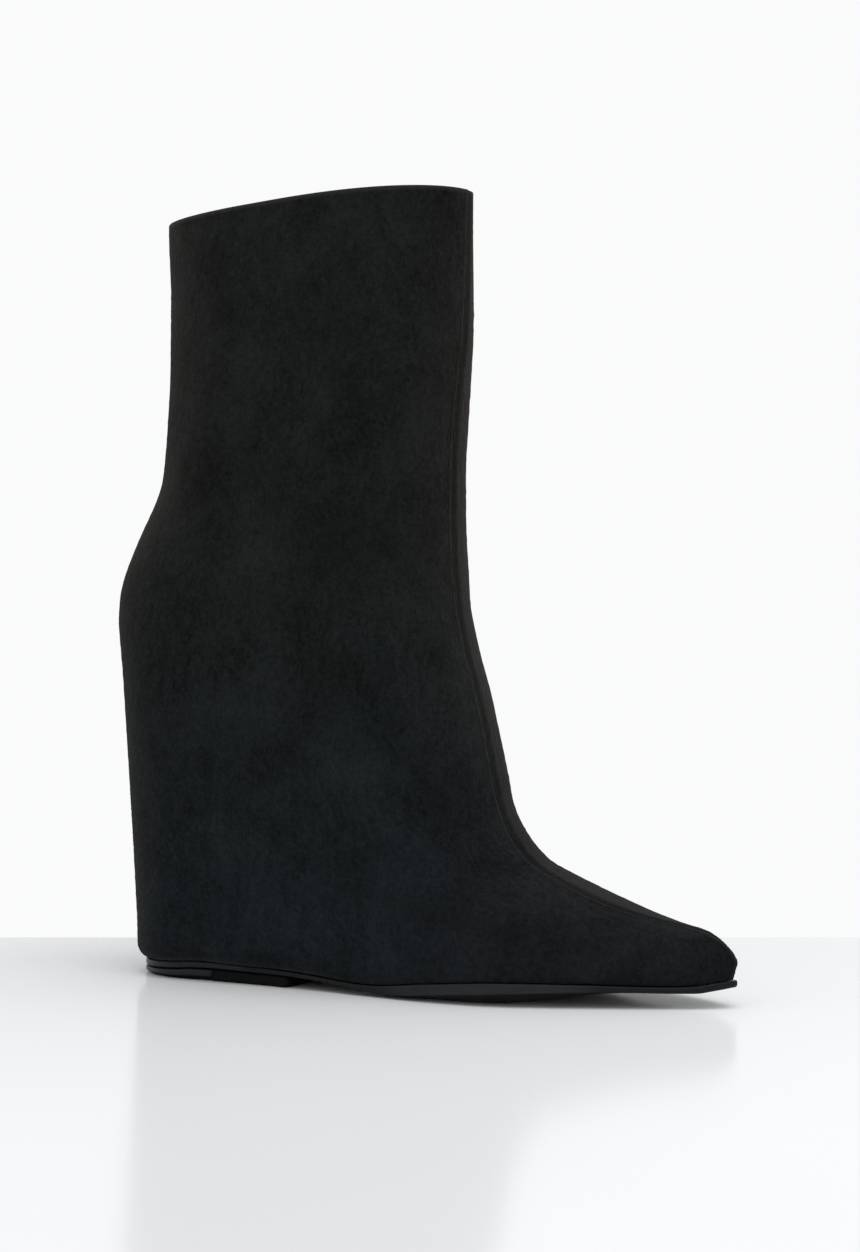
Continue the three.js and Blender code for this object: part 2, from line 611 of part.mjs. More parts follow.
// Space inside the upper as a solid, drawn in by a clearance, with the plug that fills the opening
// between the turned-under edges
function coreSolid(clearance) {
  const levels = [0, 0.006, 0.018, 0.035, 0.055, 0.08, 0.11, 0.145, 0.185, 0.23, 0.28, 0.33, 0.38, 0.43];
  const rings = levels.map((level) => levelRing(level, CORE_COLUMNS, 0.15));
  rings.unshift(turnedUnder(rings[0], MARGIN, true));
  const inset = WALL + clearance;
  const inside = offsetBy(rings, normalsOf(rings), () => -inset);
  const plugTop = turnedUnder(rings[0], clearance + 0.25 * MARGIN, false)
    .map((point) => [point[0], point[1], point[2] + inset]);
  const plugLow = plugTop.map((point) => [point[0], point[1], point[2] - inset + 0.05]);
  inside[0] = plugTop;
  return solidOf(cappedSolid([plugLow, ...inside]));
}

// Everything between two heights that are given along x, wider than the boot
function slabBetween(lowAt, highAt, from, to) {
  const rings = [];
  const count = 40;
  for (let i = 0; i <= count; i++) {
    const x = LENGTH * (from + (to - from) * i / count);
    const side = BALL_WIDTH;
    rings.push([[x, -side, lowAt(x)], [x, -side, highAt(x)], [x, side, highAt(x)], [x, side, lowAt(x)]]);
  }
  const faces = facesOfTube(4, rings.length, false);
  const last = (rings.length - 1) * 4;
  faces.push(0, 1, 2, 0, 2, 3, last, last + 2, last + 1, last, last + 3, last + 2);
  return solidOf({ points: rings.flat(), faces });
}

// Outline of the sole as two sides by station, stood out from the bottom of the upper
function soleOutline(inward, from = 0, to = 1) {
  const { lateral, medial, nose } = levelSides(0, STATIONS);
  const back = lateral[STATIONS][0];
  const place = (x) => back + (x - back) * (nose.x - back + 1.4 + backOut()) / (nose.x - back) - backOut();
  const out = lateral.map((point, i) => {
    const mate = medial[i];
    const middle = (point[1] + mate[1]) / 2;
    const half = (mate[1] - point[1]) / 2;
    const x = place(point[0]);
    const end = Math.sin(Math.PI * Math.min(1, i / STATIONS * 6, (STATIONS - i) / STATIONS * 6) / 2);
    return { x, middle, half: half + outwardAt(x) * end };
  });
  return out.map((row) => {
    const room = Math.max(0.25, row.half - inward);
    return { x: row.x, middle: row.middle, half: inward > 0 ? Math.max(room, row.half * 0.3) : row.half };
  });
}

function backOut() {
  return outwardAt(0);
}

function soleRing(inward, zAt) {
  const rows = soleOutline(inward);
  const first = rows[0].x;
  const last = rows[rows.length - 1].x;
  const squeeze = (x) => {
    const heel = inward * smooth(1 - (x - last) / (0.16 * LENGTH));
    const toe = inward * 0.6 * smooth(1 - (first - x) / (0.1 * LENGTH));
    return x + heel - toe;
  };
  const left = rows.map((row) => {
    const x = squeeze(row.x);
    return [x, row.middle - row.half, zAt(x)];
  });
  const right = rows.map((row) => {
    const x = squeeze(row.x);
    return [x, row.middle + row.half, zAt(x)];
  });
  return [...left, ...right.slice(1, -1).reverse()];
}

const CHAMFER = 0.7;

function outsoleSolid() {
  const top = (x) => rimAt(x) + thickAt(x);
  const rings = [
    soleRing(MARGIN * 2.6, treadAt),
    soleRing(MARGIN * 1.2, (x) => treadAt(x) + (rimAt(x) - treadAt(x)) * 0.36),
    soleRing(CHAMFER, rimAt),
    soleRing(0, (x) => rimAt(x) + CHAMFER),
    soleRing(0, (x) => top(x) - CHAMFER * 0.5),
    soleRing(CHAMFER * 0.5, top),
  ];
  return cappedSolid(rings);
}

// The part of a solid that lies between two stations, given as shares of LENGTH
function cutBetween(solid, from, to) {
  const block = Manifold.cube([LENGTH * (to - from), BALL_WIDTH * 2, LIFT * 6], false)
    .translate([LENGTH * from, -BALL_WIDTH, -LIFT * 3]);
  return solid.intersect(block);
}

// Heel lift: a plate flat on the floor, cut straight across in front, and round the back a block
// that stands out over it to the edge of the sole
function liftSolid() {
  const flat = (x) => 0 * x;
  const under = (x) => rimAt(x) - GAP;
  const foot = (inward) => solidOf(cappedSolid([
    soleRing(inward + CHAMFER * 0.6, flat),
    soleRing(inward, (x) => CHAMFER * 0.6 + 0 * x),
    soleRing(inward, under),
  ]));
  const block = solidOf(cappedSolid([
    soleRing(CHAMFER * 0.6, (x) => under(x) * BLOCK_FOOT),
    soleRing(0, (x) => under(x) * BLOCK_FOOT + CHAMFER * 0.3),
    soleRing(0, under),
  ]));
  return dataOf(cutBetween(foot(CHAMFER * 0.6), BREAST - 0.01, PLATE_FRONT)
    .add(cutBetween(foot(BLOCK_STEP), -0.2, BREAST))
    .add(cutBetween(block, -0.2, BREAST)));
}

function wedgeSolid() {
  const below = slabBetween((x) => 0 * x - LIFT * 4, bedAt, -0.1, 0.93);
  return dataOf(coreSolid(GAP * 2.4).intersect(below));
}

function insoleSolid() {
  const layer = slabBetween((x) => bedAt(x) + GAP, (x) => bedAt(x) + GAP + INSOLE, -0.1, 0.925);
  return dataOf(coreSolid(GAP * 2.8).intersect(layer));
}

const pieces = [
  { name: "upper", colour: 0x1b1b1c, roughness: 0.95, solid: upperSolid() },
  { name: "wedge", colour: 0x6b5a45, roughness: 0.9, solid: wedgeSolid() },
  { name: "insole", colour: 0x1c1b1a, roughness: 0.8, solid: insoleSolid() },
  { name: "outsole", colour: 0x121213, roughness: 0.5, solid: outsoleSolid() },
  { name: "top_lift", colour: 0x101011, roughness: 0.5, solid: liftSolid() },
];

// Origin under the middle of the whole boot, on the floor
const low = [Infinity, Infinity, Infinity];
const high = [-Infinity, -Infinity, -Infinity];
pieces.forEach(({ solid }) => {
  solid.points.forEach((point) => {
    for (let k = 0; k < 3; k++) {
      low[k] = Math.min(low[k], point[k]);
      high[k] = Math.max(high[k], point[k]);
    }
  });
});
const shift = [(low[0] + high[0]) / 2, (low[1] + high[1]) / 2, low[2]];

const boot = new THREE.Group();
boot.name = "ankle_boot";
pieces.forEach(({ name, colour, roughness, solid }) => {
  boot.add(meshOf(name, colour, roughness, solid, shift));
});

export default boot;
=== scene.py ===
"""Ankle boot for the right foot: suede upper over a hidden wedge, lining, insole, rubber sole."""
import math

import bpy
import numpy as np
from bpy.props import FloatProperty, FloatVectorProperty, IntProperty, PointerProperty
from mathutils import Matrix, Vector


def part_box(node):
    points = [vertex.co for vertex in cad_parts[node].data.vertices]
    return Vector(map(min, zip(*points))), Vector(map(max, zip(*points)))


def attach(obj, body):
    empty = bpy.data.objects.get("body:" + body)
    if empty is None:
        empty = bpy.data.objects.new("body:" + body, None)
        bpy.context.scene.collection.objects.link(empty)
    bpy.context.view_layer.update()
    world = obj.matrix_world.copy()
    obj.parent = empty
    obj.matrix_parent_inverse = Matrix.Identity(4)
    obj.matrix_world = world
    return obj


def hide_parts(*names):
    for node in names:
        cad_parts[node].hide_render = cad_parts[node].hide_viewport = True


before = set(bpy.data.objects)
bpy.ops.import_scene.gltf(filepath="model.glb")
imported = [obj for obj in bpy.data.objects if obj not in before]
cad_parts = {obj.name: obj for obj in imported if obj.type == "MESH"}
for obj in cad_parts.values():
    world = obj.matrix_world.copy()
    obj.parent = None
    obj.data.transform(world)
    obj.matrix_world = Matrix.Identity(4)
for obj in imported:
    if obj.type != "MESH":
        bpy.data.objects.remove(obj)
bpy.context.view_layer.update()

bl_info = {
    "name": "Ankle Boot",
    "version": (1, 0, 0),
    "blender": (4, 5, 0),
    "location": "View3D > Sidebar > Boot",
    "description": "Builds the pieces and the stage of a suede ankle boot over its frame",
    "category": "Object",
}

MM = 0.001

# Sizes of the boot, in millimetres. X from heel to toe, Y from lateral to medial, Z up
LENGTH = 225.0
HEIGHT = 263.0
BALL_WIDTH = 70.3
HEEL_WIDTH = 57.0
SHAFT_WIDTH = 60.0
BULGE = 122.0
INSTEP = 60.0
FOOT_RISE = 104.0
BALL_RISE = 12.0
TOE_RISE = 7.4
LIFT = 4.5
SOLE = 3.2
WALL = 2.0
INSOLE = 2.2
MARGIN = 4.0
COLLAR_RISE = 5.3
GAP = 0.3
BLOCK_STEP = 1.6
PLATE_STEP = 0.42

# Front edges of the heel block and of the plate in shares of LENGTH, foot of the block in shares
# of the lift's height, height of the tuck in shares of BULGE, level where the collar's tilt starts
BREAST = 0.213
PLATE_FRONT = 0.347
BLOCK_FOOT = 0.38
TUCK_HEIGHT = 0.04
TILT_FROM = 0.76

# Where one form eases into the next, in shares of HEIGHT: levels that follow the sole, and foot
# into shaft. In shares of LENGTH: the collar's tilt, the toe's middle line, the narrow toe tip
FOLLOW_RUN = 0.16
FOOT_END, FOOT_RUN = 0.05, 0.32
TILT_START, TILT_RUN, TILT_DROP = 0.13, 0.46, 0.81
NOSE_START, NOSE_RUN = 0.24, 0.22
TIP_END, TIP_RUN = 0.94, 0.08

# Points along the crest, along the sole for the shift, and crest distances worked out at once
CREST_SAMPLES = 261
STATIONS = 38
CHUNK = 16000

# How the upper's grid is laid: distances of its first columns from the front seam, how much the
# others crowd towards the back, the level up to which its rows are close, the steps by which its
# bottom turns under, and the angles round the collar's edge
SEAM_STEPS = np.array([0.16, 0.32, 0.5, 0.72, 1.0, 1.35, 1.8, 2.4, 3.2])
LINING_STEPS = np.array([1.0, 2.6])
CROWDING = 0.35
VAMP_TOP = 0.23
UNDER_STEPS = (0.8, 2.2, MARGIN)
COLLAR_ANGLES = (25, 50, 75, 100, 125, 155, 180)
NAP_SEED = 11

# Where the camera looks, along the boot
VIEW_X = 118.1

# Centre of the back, up to the bulge: up in shares of BULGE, x in shares of LENGTH
HEEL_BACK = np.array([
    (0, 0.056), (0.045, 0.044), (0.06, 0.0372), (0.088, 0.0335), (0.138, 0.0325), (0.252, 0.0284),
    (0.366, 0.0249), (0.48, 0.0213), (0.593, 0.0182), (0.707, 0.0145), (0.829, 0.0098),
    (0.943, 0.003), (1, 0),
])

# Centre of the back, bulge to collar: up in shares of HEIGHT - BULGE, x in shares of LENGTH
SHAFT_BACK = np.array([
    (0.049, 0.001), (0.099, 0.0075), (0.148, 0.0191), (0.197, 0.0329), (0.246, 0.0489),
    (0.296, 0.065), (0.345, 0.075), (0.401, 0.0795), (0.479, 0.083), (0.599, 0.087),
    (0.697, 0.0874), (0.796, 0.0874), (0.873, 0.085), (0.944, 0.0827), (1.01, 0.0822),
])

# Crest of the shin, collar to instep: up in shares of HEIGHT - INSTEP, x in shares of LENGTH,
# then nose, round and seam in shares of SHAFT_WIDTH, and the exponent of the rounding
SHIN = np.array([
    (1.035, 0.589, 0, 1.033, -0.008, 0.5), (0.941, 0.5876, 0, 0.967, -0.012, 0.49),
    (0.863, 0.586, 0, 0.833, -0.02, 0.47), (0.775, 0.5825, 0, 0.7, -0.025, 0.44),
    (0.701, 0.5755, 0.008, 0.633, -0.03, 0.42), (0.627, 0.569, 0.017, 0.6, -0.033, 0.41),
    (0.539, 0.5645, 0.017, 0.6, -0.033, 0.41), (0.466, 0.5645, 0.017, 0.6, -0.033, 0.41),
    (0.397, 0.5672, 0.025, 0.617, -0.033, 0.42), (0.328, 0.5724, 0.033, 0.65, -0.025, 0.43),
    (0.255, 0.5844, 0.05, 0.633, -0.017, 0.42), (0.191, 0.6, 0.067, 0.617, -0.008, 0.41),
    (0.127, 0.6133, 0.083, 0.6, 0, 0.42), (0.059, 0.6267, 0.1, 0.6, 0, 0.44),
])

# Crest of the vamp, instep to toe tip: up in shares of INSTEP, x in shares of LENGTH, then
# nose, round and seam in shares of BALL_WIDTH, and the exponent of the rounding
VAMP = np.array([
    (1, 0.64, 0.092, 0.512, 0, 0.47), (0.833, 0.6622, 0.106, 0.498, 0, 0.48),
    (0.715, 0.6916, 0.12, 0.441, 0, 0.47), (0.643, 0.7293, 0.128, 0.37, -0.011, 0.45),
    (0.572, 0.776, 0.131, 0.313, -0.024, 0.44), (0.513, 0.8204, 0.125, 0.27, -0.028, 0.43),
    (0.463, 0.8649, 0.11, 0.242, -0.011, 0.44), (0.423, 0.9093, 0.085, 0.199, 0.019, 0.46),
    (0.39, 0.9493, 0.071, 0.171, 0.04, 0.48), (0.347, 0.975, 0.057, 0.157, 0.043, 0.5),
    (0.295, 0.9915, 0.049, 0.142, 0.043, 0.5), (0.24, 1, 0.043, 0.128, 0.043, 0.5),
    (0.2, 0.997, 0.043, 0.114, 0.043, 0.5), (0.14, 0.9915, 0.043, 0.114, 0.043, 0.5),
])

# Foot outline: x in shares of LENGTH, both sides in shares of the width there, and how far that
# width has gone from HEEL_WIDTH to BALL_WIDTH
PLAN = np.array([
    (-0.028, 0.505, 0.525, 0), (0.149, 0.505, 0.525, 0), (0.238, 0.507, 0.51, 0),
    (0.327, 0.479, 0.463, 0.2), (0.416, 0.444, 0.43, 0.61), (0.483, 0.437, 0.458, 0.88),
    (0.549, 0.444, 0.505, 1), (0.607, 0.452, 0.543, 1), (0.66, 0.445, 0.555, 1),
    (0.709, 0.411, 0.538, 1), (0.763, 0.347, 0.481, 1), (0.816, 0.275, 0.404, 1),
    (0.869, 0.198, 0.316, 1), (0.914, 0.131, 0.239, 1), (0.954, 0.07, 0.165, 1),
    (0.985, 0.021, 0.109, 1), (1.007, -0.011, 0.071, 1),
])

# Shaft: up in shares of HEIGHT, lateral, medial and rounding of the back in shares of SHAFT_WIDTH
SHAFT = np.array([
    (0.02, 0.483, 0.467, 0.45), (0.15, 0.525, 0.508, 0.5), (0.3, 0.55, 0.533, 0.55),
    (0.42, 0.558, 0.55, 0.58), (0.5, 0.55, 0.55, 0.62), (0.59, 0.525, 0.525, 0.67),
    (0.72, 0.508, 0.508, 0.7), (0.85, 0.5, 0.5, 0.73), (1, 0.492, 0.492, 0.77),
])

# Outsole: x, lower edge at the rim as shares of LIFT and TOE_RISE, tread the same, thickness in
# shares of SOLE
OUTSOLE = np.array([
    (0, 0.47, 0, 0.47, 0, 0.75), (0.06, 0.53, 0, 0.53, 0, 0.75), (0.13, 0.73, 0, 0.73, 0, 0.72),
    (0.2, 0.94, 0, 0.94, 0, 0.72), (0.25, 0.91, 0, 0.91, 0, 0.64), (0.29, 0.86, 0, 0.86, 0, 0.64),
    (0.35, 0.84, 0, 0.84, 0, 0.56), (0.39, 0.78, 0, 0.72, 0, 0.48),
    (0.425, 0.66, 0, 0.54, 0, 0.45), (0.46, 0.48, 0, 0.32, 0, 0.53), (0.49, 0.33, 0, 0.12, 0, 0.7),
    (0.515, 0.28, 0, 0, 0, 0.85), (0.545, 0.3, 0, 0, 0, 1.03), (0.57, 0.41, 0, 0, 0, 1.11),
    (0.6, 0.54, 0, 0, 0, 1.11), (0.635, 0.69, 0, 0, 0, 1.11), (0.67, 0.81, 0, 0, 0, 1.12),
    (0.705, 0.72, 0.12, 0.14, 0.02, 1.04), (0.745, 0.54, 0.29, 0.21, 0.11, 0.92),
    (0.785, 0.31, 0.48, 0.18, 0.28, 0.77), (0.83, 0, 0.7, 0, 0.53, 0.66),
    (0.88, 0, 0.69, 0, 0.61, 0.59), (0.92, 0, 0.67, 0, 0.62, 0.62), (0.95, 0, 0.67, 0, 0.64, 0.69),
    (0.975, 0, 0.78, 0, 0.76, 0.75), (1.01, 0, 0.98, 0, 0.96, 0.55),
])

# Tuck of the upper's bottom and stand of the sole edge: x, then both in shares of MARGIN
TUCK = np.array([
    (0, 1.15, 0.05), (0.09, 1.15, 0.25), (0.24, 1.1, -0.05), (0.46, 0.5, 0.4), (0.6, 0.3, 0.42),
    (1.01, 0.25, 0.38),
])

# Footbed: x, then shares of FOOT_RISE, BALL_RISE and TOE_RISE
FOOTBED = np.array([
    (-0.02, 1, 0, 0), (0.06, 0.995, 0, 0), (0.14, 0.975, 0, 0), (0.2, 0.925, 0, 0),
    (0.27, 0.795, 0.05, 0), (0.34, 0.625, 0.12, 0), (0.41, 0.44, 0.25, 0), (0.48, 0.255, 0.46, 0),
    (0.54, 0.115, 0.7, 0), (0.59, 0.035, 0.88, 0), (0.64, 0, 0.98, 0), (0.7, 0, 1, 0.08),
    (0.78, 0, 0.96, 0.26), (0.86, 0, 0.9, 0.48), (0.95, 0, 0.82, 0.78), (1.05, 0, 0.78, 1),
])


# Shape functions

def smooth(t):
    """Cubic ease from 0 to 1."""
    c = np.clip(t, 0.0, 1.0)
    return c * c * (3.0 - 2.0 * c)


def round_end(t):
    """Quarter circle from 0 at 0 to 1 at 1."""
    c = np.clip(t, 0, 1)
    return np.sqrt(c * (2 - c))


class Curve:
    """Piecewise cubic through points with rising keys, which never overshoots between two."""

    def __init__(self, keys, values):
        self.keys = np.asarray(keys, float)
        self.values = np.asarray(values, float)
        self.step = np.diff(self.keys)
        rate = np.diff(self.values) / self.step
        slope = np.zeros(len(self.keys))
        slope[0], slope[-1] = rate[0], rate[-1]
        a = 2 * self.step[1:] + self.step[:-1]
        b = self.step[1:] + 2 * self.step[:-1]
        same = rate[:-1] * rate[1:] > 0
        safe0 = np.where(same, rate[:-1], 1.0)
        safe1 = np.where(same, rate[1:], 1.0)
        slope[1:-1] = np.where(same, (a + b) / (a / safe0 + b / safe1), 0.0)
        self.slope = slope

    def __call__(self, key):
        k = np.clip(key, self.keys[0], self.keys[-1])
        i = np.clip(np.searchsorted(self.keys, k, side="left") - 1, 0, len(self.step) - 1)
        step = self.step[i]
        t = (k - self.keys[i]) / step
        u = 1 - t
        return ((1 + 2 * t) * u * u * self.values[i] + t * u * u * step * self.slope[i]
                + t * t * (3 - 2 * t) * self.values[i + 1] - t * t * u * step * self.slope[i + 1])


back_at = Curve(
    np.concatenate([HEEL_BACK[:, 0] * BULGE, BULGE + SHAFT_BACK[:, 0] * (HEIGHT - BULGE)]),
    np.concatenate([HEEL_BACK[:, 1], SHAFT_BACK[:, 1]]) * LENGTH)
PLAN_UNIT = HEEL_WIDTH * (1 - PLAN[:, 3]) + BALL_WIDTH * PLAN[:, 3]
lateral_at = Curve(PLAN[:, 0] * LENGTH, -PLAN[:, 1] * PLAN_UNIT)
medial_at = Curve(PLAN[:, 0] * LENGTH, PLAN[:, 2] * PLAN_UNIT)
shaft_lateral = Curve(SHAFT[:, 0] * HEIGHT, SHAFT[:, 1] * SHAFT_WIDTH)
shaft_medial = Curve(SHAFT[:, 0] * HEIGHT, SHAFT[:, 2] * SHAFT_WIDTH)
shaft_round = Curve(SHAFT[:, 0] * HEIGHT, SHAFT[:, 3] * SHAFT_WIDTH)
rim_at = Curve(OUTSOLE[:, 0] * LENGTH, OUTSOLE[:, 1] * LIFT + OUTSOLE[:, 2] * TOE_RISE)
tread_at = Curve(OUTSOLE[:, 0] * LENGTH, OUTSOLE[:, 3] * LIFT + OUTSOLE[:, 4] * TOE_RISE)
thick_at = Curve(OUTSOLE[:, 0] * LENGTH, OUTSOLE[:, 5] * SOLE)
tuck_at = Curve(TUCK[:, 0] * LENGTH, TUCK[:, 1] * MARGIN)
outward_at = Curve(TUCK[:, 0] * LENGTH, TUCK[:, 2] * MARGIN)
bed_at = Curve(
    FOOTBED[:, 0] * LENGTH,
    FOOTBED[:, 1] * FOOT_RISE + FOOTBED[:, 2] * BALL_RISE + FOOTBED[:, 3] * TOE_RISE)


def feather_at(x):
    """Height where the upper meets the sole."""
    return rim_at(x) + thick_at(x) + GAP


LOWEST = float(feather_at(0.0))


def height_at(x, level):
    """Height of a level line: level times the boot's height, following the sole near the bottom
    and sinking towards the back near the collar."""
    h = LOWEST + level * (HEIGHT - LOWEST)
    low = (feather_at(x) - LOWEST) * (1 - smooth((h - LOWEST) / (FOLLOW_RUN * HEIGHT)))
    tilt = smooth((level - TILT_FROM) / (1 - TILT_FROM))
    along = smooth((x / LENGTH - TILT_START) / TILT_RUN)
    return h + low + COLLAR_RISE * tilt * (along - TILT_DROP)


def crest_table():
    """Front crest from collar to toe tip, sampled evenly by length: x, z, nose, round, seam,
    blunt and level in columns."""
    shin = np.column_stack([
        SHIN[:, 1] * LENGTH, INSTEP + SHIN[:, 0] * (HEIGHT - INSTEP), SHIN[:, 2:5] * SHAFT_WIDTH,
        SHIN[:, 5]])
    vamp = np.column_stack([
        VAMP[:, 1] * LENGTH, VAMP[:, 0] * INSTEP, VAMP[:, 2:5] * BALL_WIDTH, VAMP[:, 5]])
    rows = np.vstack([shin, vamp])
    run = np.concatenate([[0], np.cumsum(np.hypot(*np.diff(rows[:, :2], axis=0).T))])
    at = np.linspace(0, run[-1], CREST_SAMPLES)
    points = np.column_stack([Curve(run, rows[:, k])(at) for k in range(6)])
    low, high = np.full(CREST_SAMPLES, -0.05), np.full(CREST_SAMPLES, 1.2)
    for _ in range(40):
        mid = (low + high) / 2
        below = height_at(points[:, 0], mid) < points[:, 1]
        low, high = np.where(below, mid, low), np.where(below, high, mid)
    return np.column_stack([points, (low + high) / 2])


CREST = crest_table()


def crest_at_level(level):
    """Crest row at each level, linear between the samples."""
    reached = CREST[None, 1:, 6] <= level[:, None]
    i = np.where(reached.any(axis=1), reached.argmax(axis=1) + 1, len(CREST) - 1)
    a, b = CREST[i - 1], CREST[i]
    t = np.clip((a[:, 6] - level) / np.maximum(a[:, 6] - b[:, 6], 1e-12), 0, 1)[:, None]
    return a + (b - a) * t


def nearest_crest(x, z):
    """Nearest crest point in the side view: its distance, and nose, round and blunt there."""
    flat_x, flat_z = x.ravel(), z.ravel()
    a, d = CREST[:-1, :2], np.diff(CREST[:, :2], axis=0)
    size = (d * d).sum(axis=1)
    distance = np.empty(len(flat_x))
    found = np.empty((len(flat_x), 3))
    for start in range(0, len(flat_x), CHUNK):
        part = slice(start, start + CHUNK)
        px, pz = flat_x[part, None] - a[:, 0], flat_z[part, None] - a[:, 1]
        t = np.clip((px * d[:, 0] + pz * d[:, 1]) / size, 0, 1)
        far = np.hypot(px - t * d[:, 0], pz - t * d[:, 1])
        k = far.argmin(axis=1)
        row = np.arange(len(k))
        tk = t[row, k][:, None]
        distance[part] = far[row, k]
        found[part] = CREST[k][:, [2, 3, 5]] * (1 - tk) + CREST[k + 1][:, [2, 3, 5]] * tk
    return distance.reshape(x.shape), np.moveaxis(found.reshape(x.shape + (3,)), -1, 0)


def sides_at(x, z):
    """Lateral and medial y: foot plan below, shaft above, rounded in to the crest in front and
    to the back, and tucked under at the bottom."""
    foot = 1 - smooth((z - FOOT_END * HEIGHT) / (FOOT_RUN * HEIGHT))
    q = np.clip((z - feather_at(x)) / (TUCK_HEIGHT * BULGE), 0, 1)
    tuck = tuck_at(x) * (1 - np.sqrt(1 - (1 - q) ** 2))
    lateral = lateral_at(x) * foot - shaft_lateral(z) * (1 - foot) + tuck
    medial = medial_at(x) * foot + shaft_medial(z) * (1 - foot) - tuck
    distance, (nose, around, blunt) = nearest_crest(x, z)
    front = 1 - np.clip(distance / around, 0, 1)
    behind = 1 - np.clip((x - back_at(z)) / shaft_round(z), 0, 1)
    ends = (1 - front * front) ** blunt * np.sqrt(1 - behind * behind)
    middle = nose * smooth((x / LENGTH - NOSE_START) / NOSE_RUN)
    return middle + (lateral - middle) * ends, middle + (medial - middle) * ends


def level_sides(levels, count):
    """Each level as two lines of points, nose to back along either side."""
    nose = crest_at_level(levels)
    back = np.zeros(len(levels))
    for _ in range(20):
        back = back_at(height_at(back, levels))
    along = (1 + np.cos(np.pi * np.arange(count + 1) / count)) / 2
    x = back[:, None] + (nose[:, 0] - back)[:, None] * along
    z = height_at(x, levels[:, None])
    lateral, medial = sides_at(x, z)
    for side in (lateral, medial):
        side[:, 0] = nose[:, 2]
        side[:, -1] = 0.0
    return np.stack([x, lateral, z], -1), np.stack([x, medial, z], -1), nose


def side_lengths(total, near, columns, crowding):
    """Distances from the seam along one side: the fixed near ones, then eased steps to the back."""
    q = np.arange(1, columns - len(near) + 1) / (columns - len(near))
    eased = q - crowding * np.sin(2 * np.pi * q) / (2 * np.pi)
    return np.concatenate([[0.0], near, near[-1] + (total - near[-1]) * eased])


def level_rings(levels, columns, near, crowding, count=260):
    """Rings of points that start on the front seam and run round by the lateral side, with each
    point's signed distance from the seam (lateral side positive)."""
    near_nose = 70
    lateral, medial, nose = level_sides(levels, count)
    line = np.concatenate([medial[:, ::-1], lateral[:, 1:]], axis=1)
    step = np.linalg.norm(np.diff(line, axis=1), axis=2)
    run = np.concatenate([np.zeros((len(levels), 1)), np.cumsum(step, axis=1)], axis=1)
    window = slice(count - near_nose, count + near_nose + 1)
    rings = np.empty((len(levels), 2 * columns, 3))
    across = np.empty((len(levels), 2 * columns))
    for j in range(len(levels)):
        start = np.interp(-nose[j, 4], -line[j, window, 1], run[j, window])
        left = side_lengths(run[j, -1] - start, near, columns, crowding)
        right = side_lengths(start, near, columns, crowding)[1:-1][::-1]
        at = np.concatenate([start + left, start - right])
        for k in range(3):
            rings[j, :, k] = np.interp(at, run[j], line[j, :, k])
        across[j] = np.concatenate([left, -right])
    return rings, across


def upper_levels(low, mid, high):
    """Levels of the upper: closest over the bottom rounding, close over the vamp, then wider."""
    rounding, vamp_share = 0.02, 0.21
    bottom = rounding * (1 - np.cos(np.pi * 0.5 * np.arange(low) / low))
    vamp = rounding + vamp_share * np.arange(mid) / mid
    shaft = VAMP_TOP + (1 - VAMP_TOP) * np.arange(high + 1) / high
    return np.concatenate([bottom, vamp, shaft])


def ring_normals(rings):
    """Outward normals of a stack of rings, from the directions along and up."""
    along = np.roll(rings, -1, axis=1) - np.roll(rings, 1, axis=1)
    up = np.gradient(rings, axis=0)
    n = np.cross(up, along)
    return n / np.maximum(np.linalg.norm(n, axis=2, keepdims=True), 1e-12)


def turned_under(ring, inward):
    """The bottom ring drawn in along its normals by a length, in front of the heel by no more
    than a share of the width there, and by tip_share of it at the toe tip."""
    tip_share, heel_end, width_share = 0.04, 0.2 * LENGTH, 0.28
    mate = np.roll(ring[::-1], 1, axis=0)
    span = np.abs(ring[:, 1] - mate[:, 1])
    along = np.roll(ring, -1, axis=0) - np.roll(ring, 1, axis=0)
    n = np.column_stack([along[:, 1], -along[:, 0]])
    n /= np.maximum(np.linalg.norm(n, axis=1, keepdims=True), 1e-12)
    tip = tip_share + (1 - tip_share) * smooth((TIP_END - ring[:, 0] / LENGTH) / TIP_RUN)
    room = np.where(ring[:, 0] < heel_end, inward, np.minimum(inward, width_share * span)) * tip
    x = ring[:, 0] + n[:, 0] * room
    return np.column_stack([x, ring[:, 1] + n[:, 1] * room, feather_at(x)])


# Where the boot stands in the frame

def sole_outline(inward, count):
    """Sole outline by station: x, middle and half width. Its sides stand out from the upper's
    bottom by outward_at, faded to both ends, its back by outward_at there and its toe tip by
    toe_out. Drawn in, a half width keeps its least length and share."""
    toe_out, end_share, least, least_share = 1.4, 6, 0.25, 0.3
    lateral, medial, _ = level_sides(np.array([0.0]), count)
    lateral, medial = lateral[0], medial[0]
    back_out = float(outward_at(0.0))
    back, nose = lateral[-1, 0], lateral[0, 0]
    longer = (nose - back + toe_out + back_out) / (nose - back)
    x = back + (lateral[:, 0] - back) * longer - back_out
    i = np.arange(count + 1) / count
    end = np.sin(np.pi * np.minimum(1, np.minimum(i, 1 - i) * end_share) / 2)
    half = (medial[:, 1] - lateral[:, 1]) / 2 + outward_at(lateral[:, 0]) * end
    middle = (medial[:, 1] + lateral[:, 1]) / 2
    if inward > 0:
        half = np.maximum(np.maximum(least, half - inward), half * least_share)
    return x, middle, half


def sole_ring(inward, z_at, count):
    """Outline of the sole drawn in by a length, at the heel wholly and at the toe by a share,
    at the height that z_at gives along x."""
    heel_run, toe_run, toe_share = 0.16 * LENGTH, 0.1 * LENGTH, 0.6
    x, middle, half = sole_outline(inward, count)
    heel = inward * smooth(1 - (x - x[-1]) / heel_run)
    toe = inward * toe_share * smooth(1 - (x[0] - x) / toe_run)
    x = x + heel - toe
    z = z_at(x)
    left = np.column_stack([x, middle - half, z])
    right = np.column_stack([x, middle + half, z])
    return np.vstack([left, right[1:-1][::-1]])


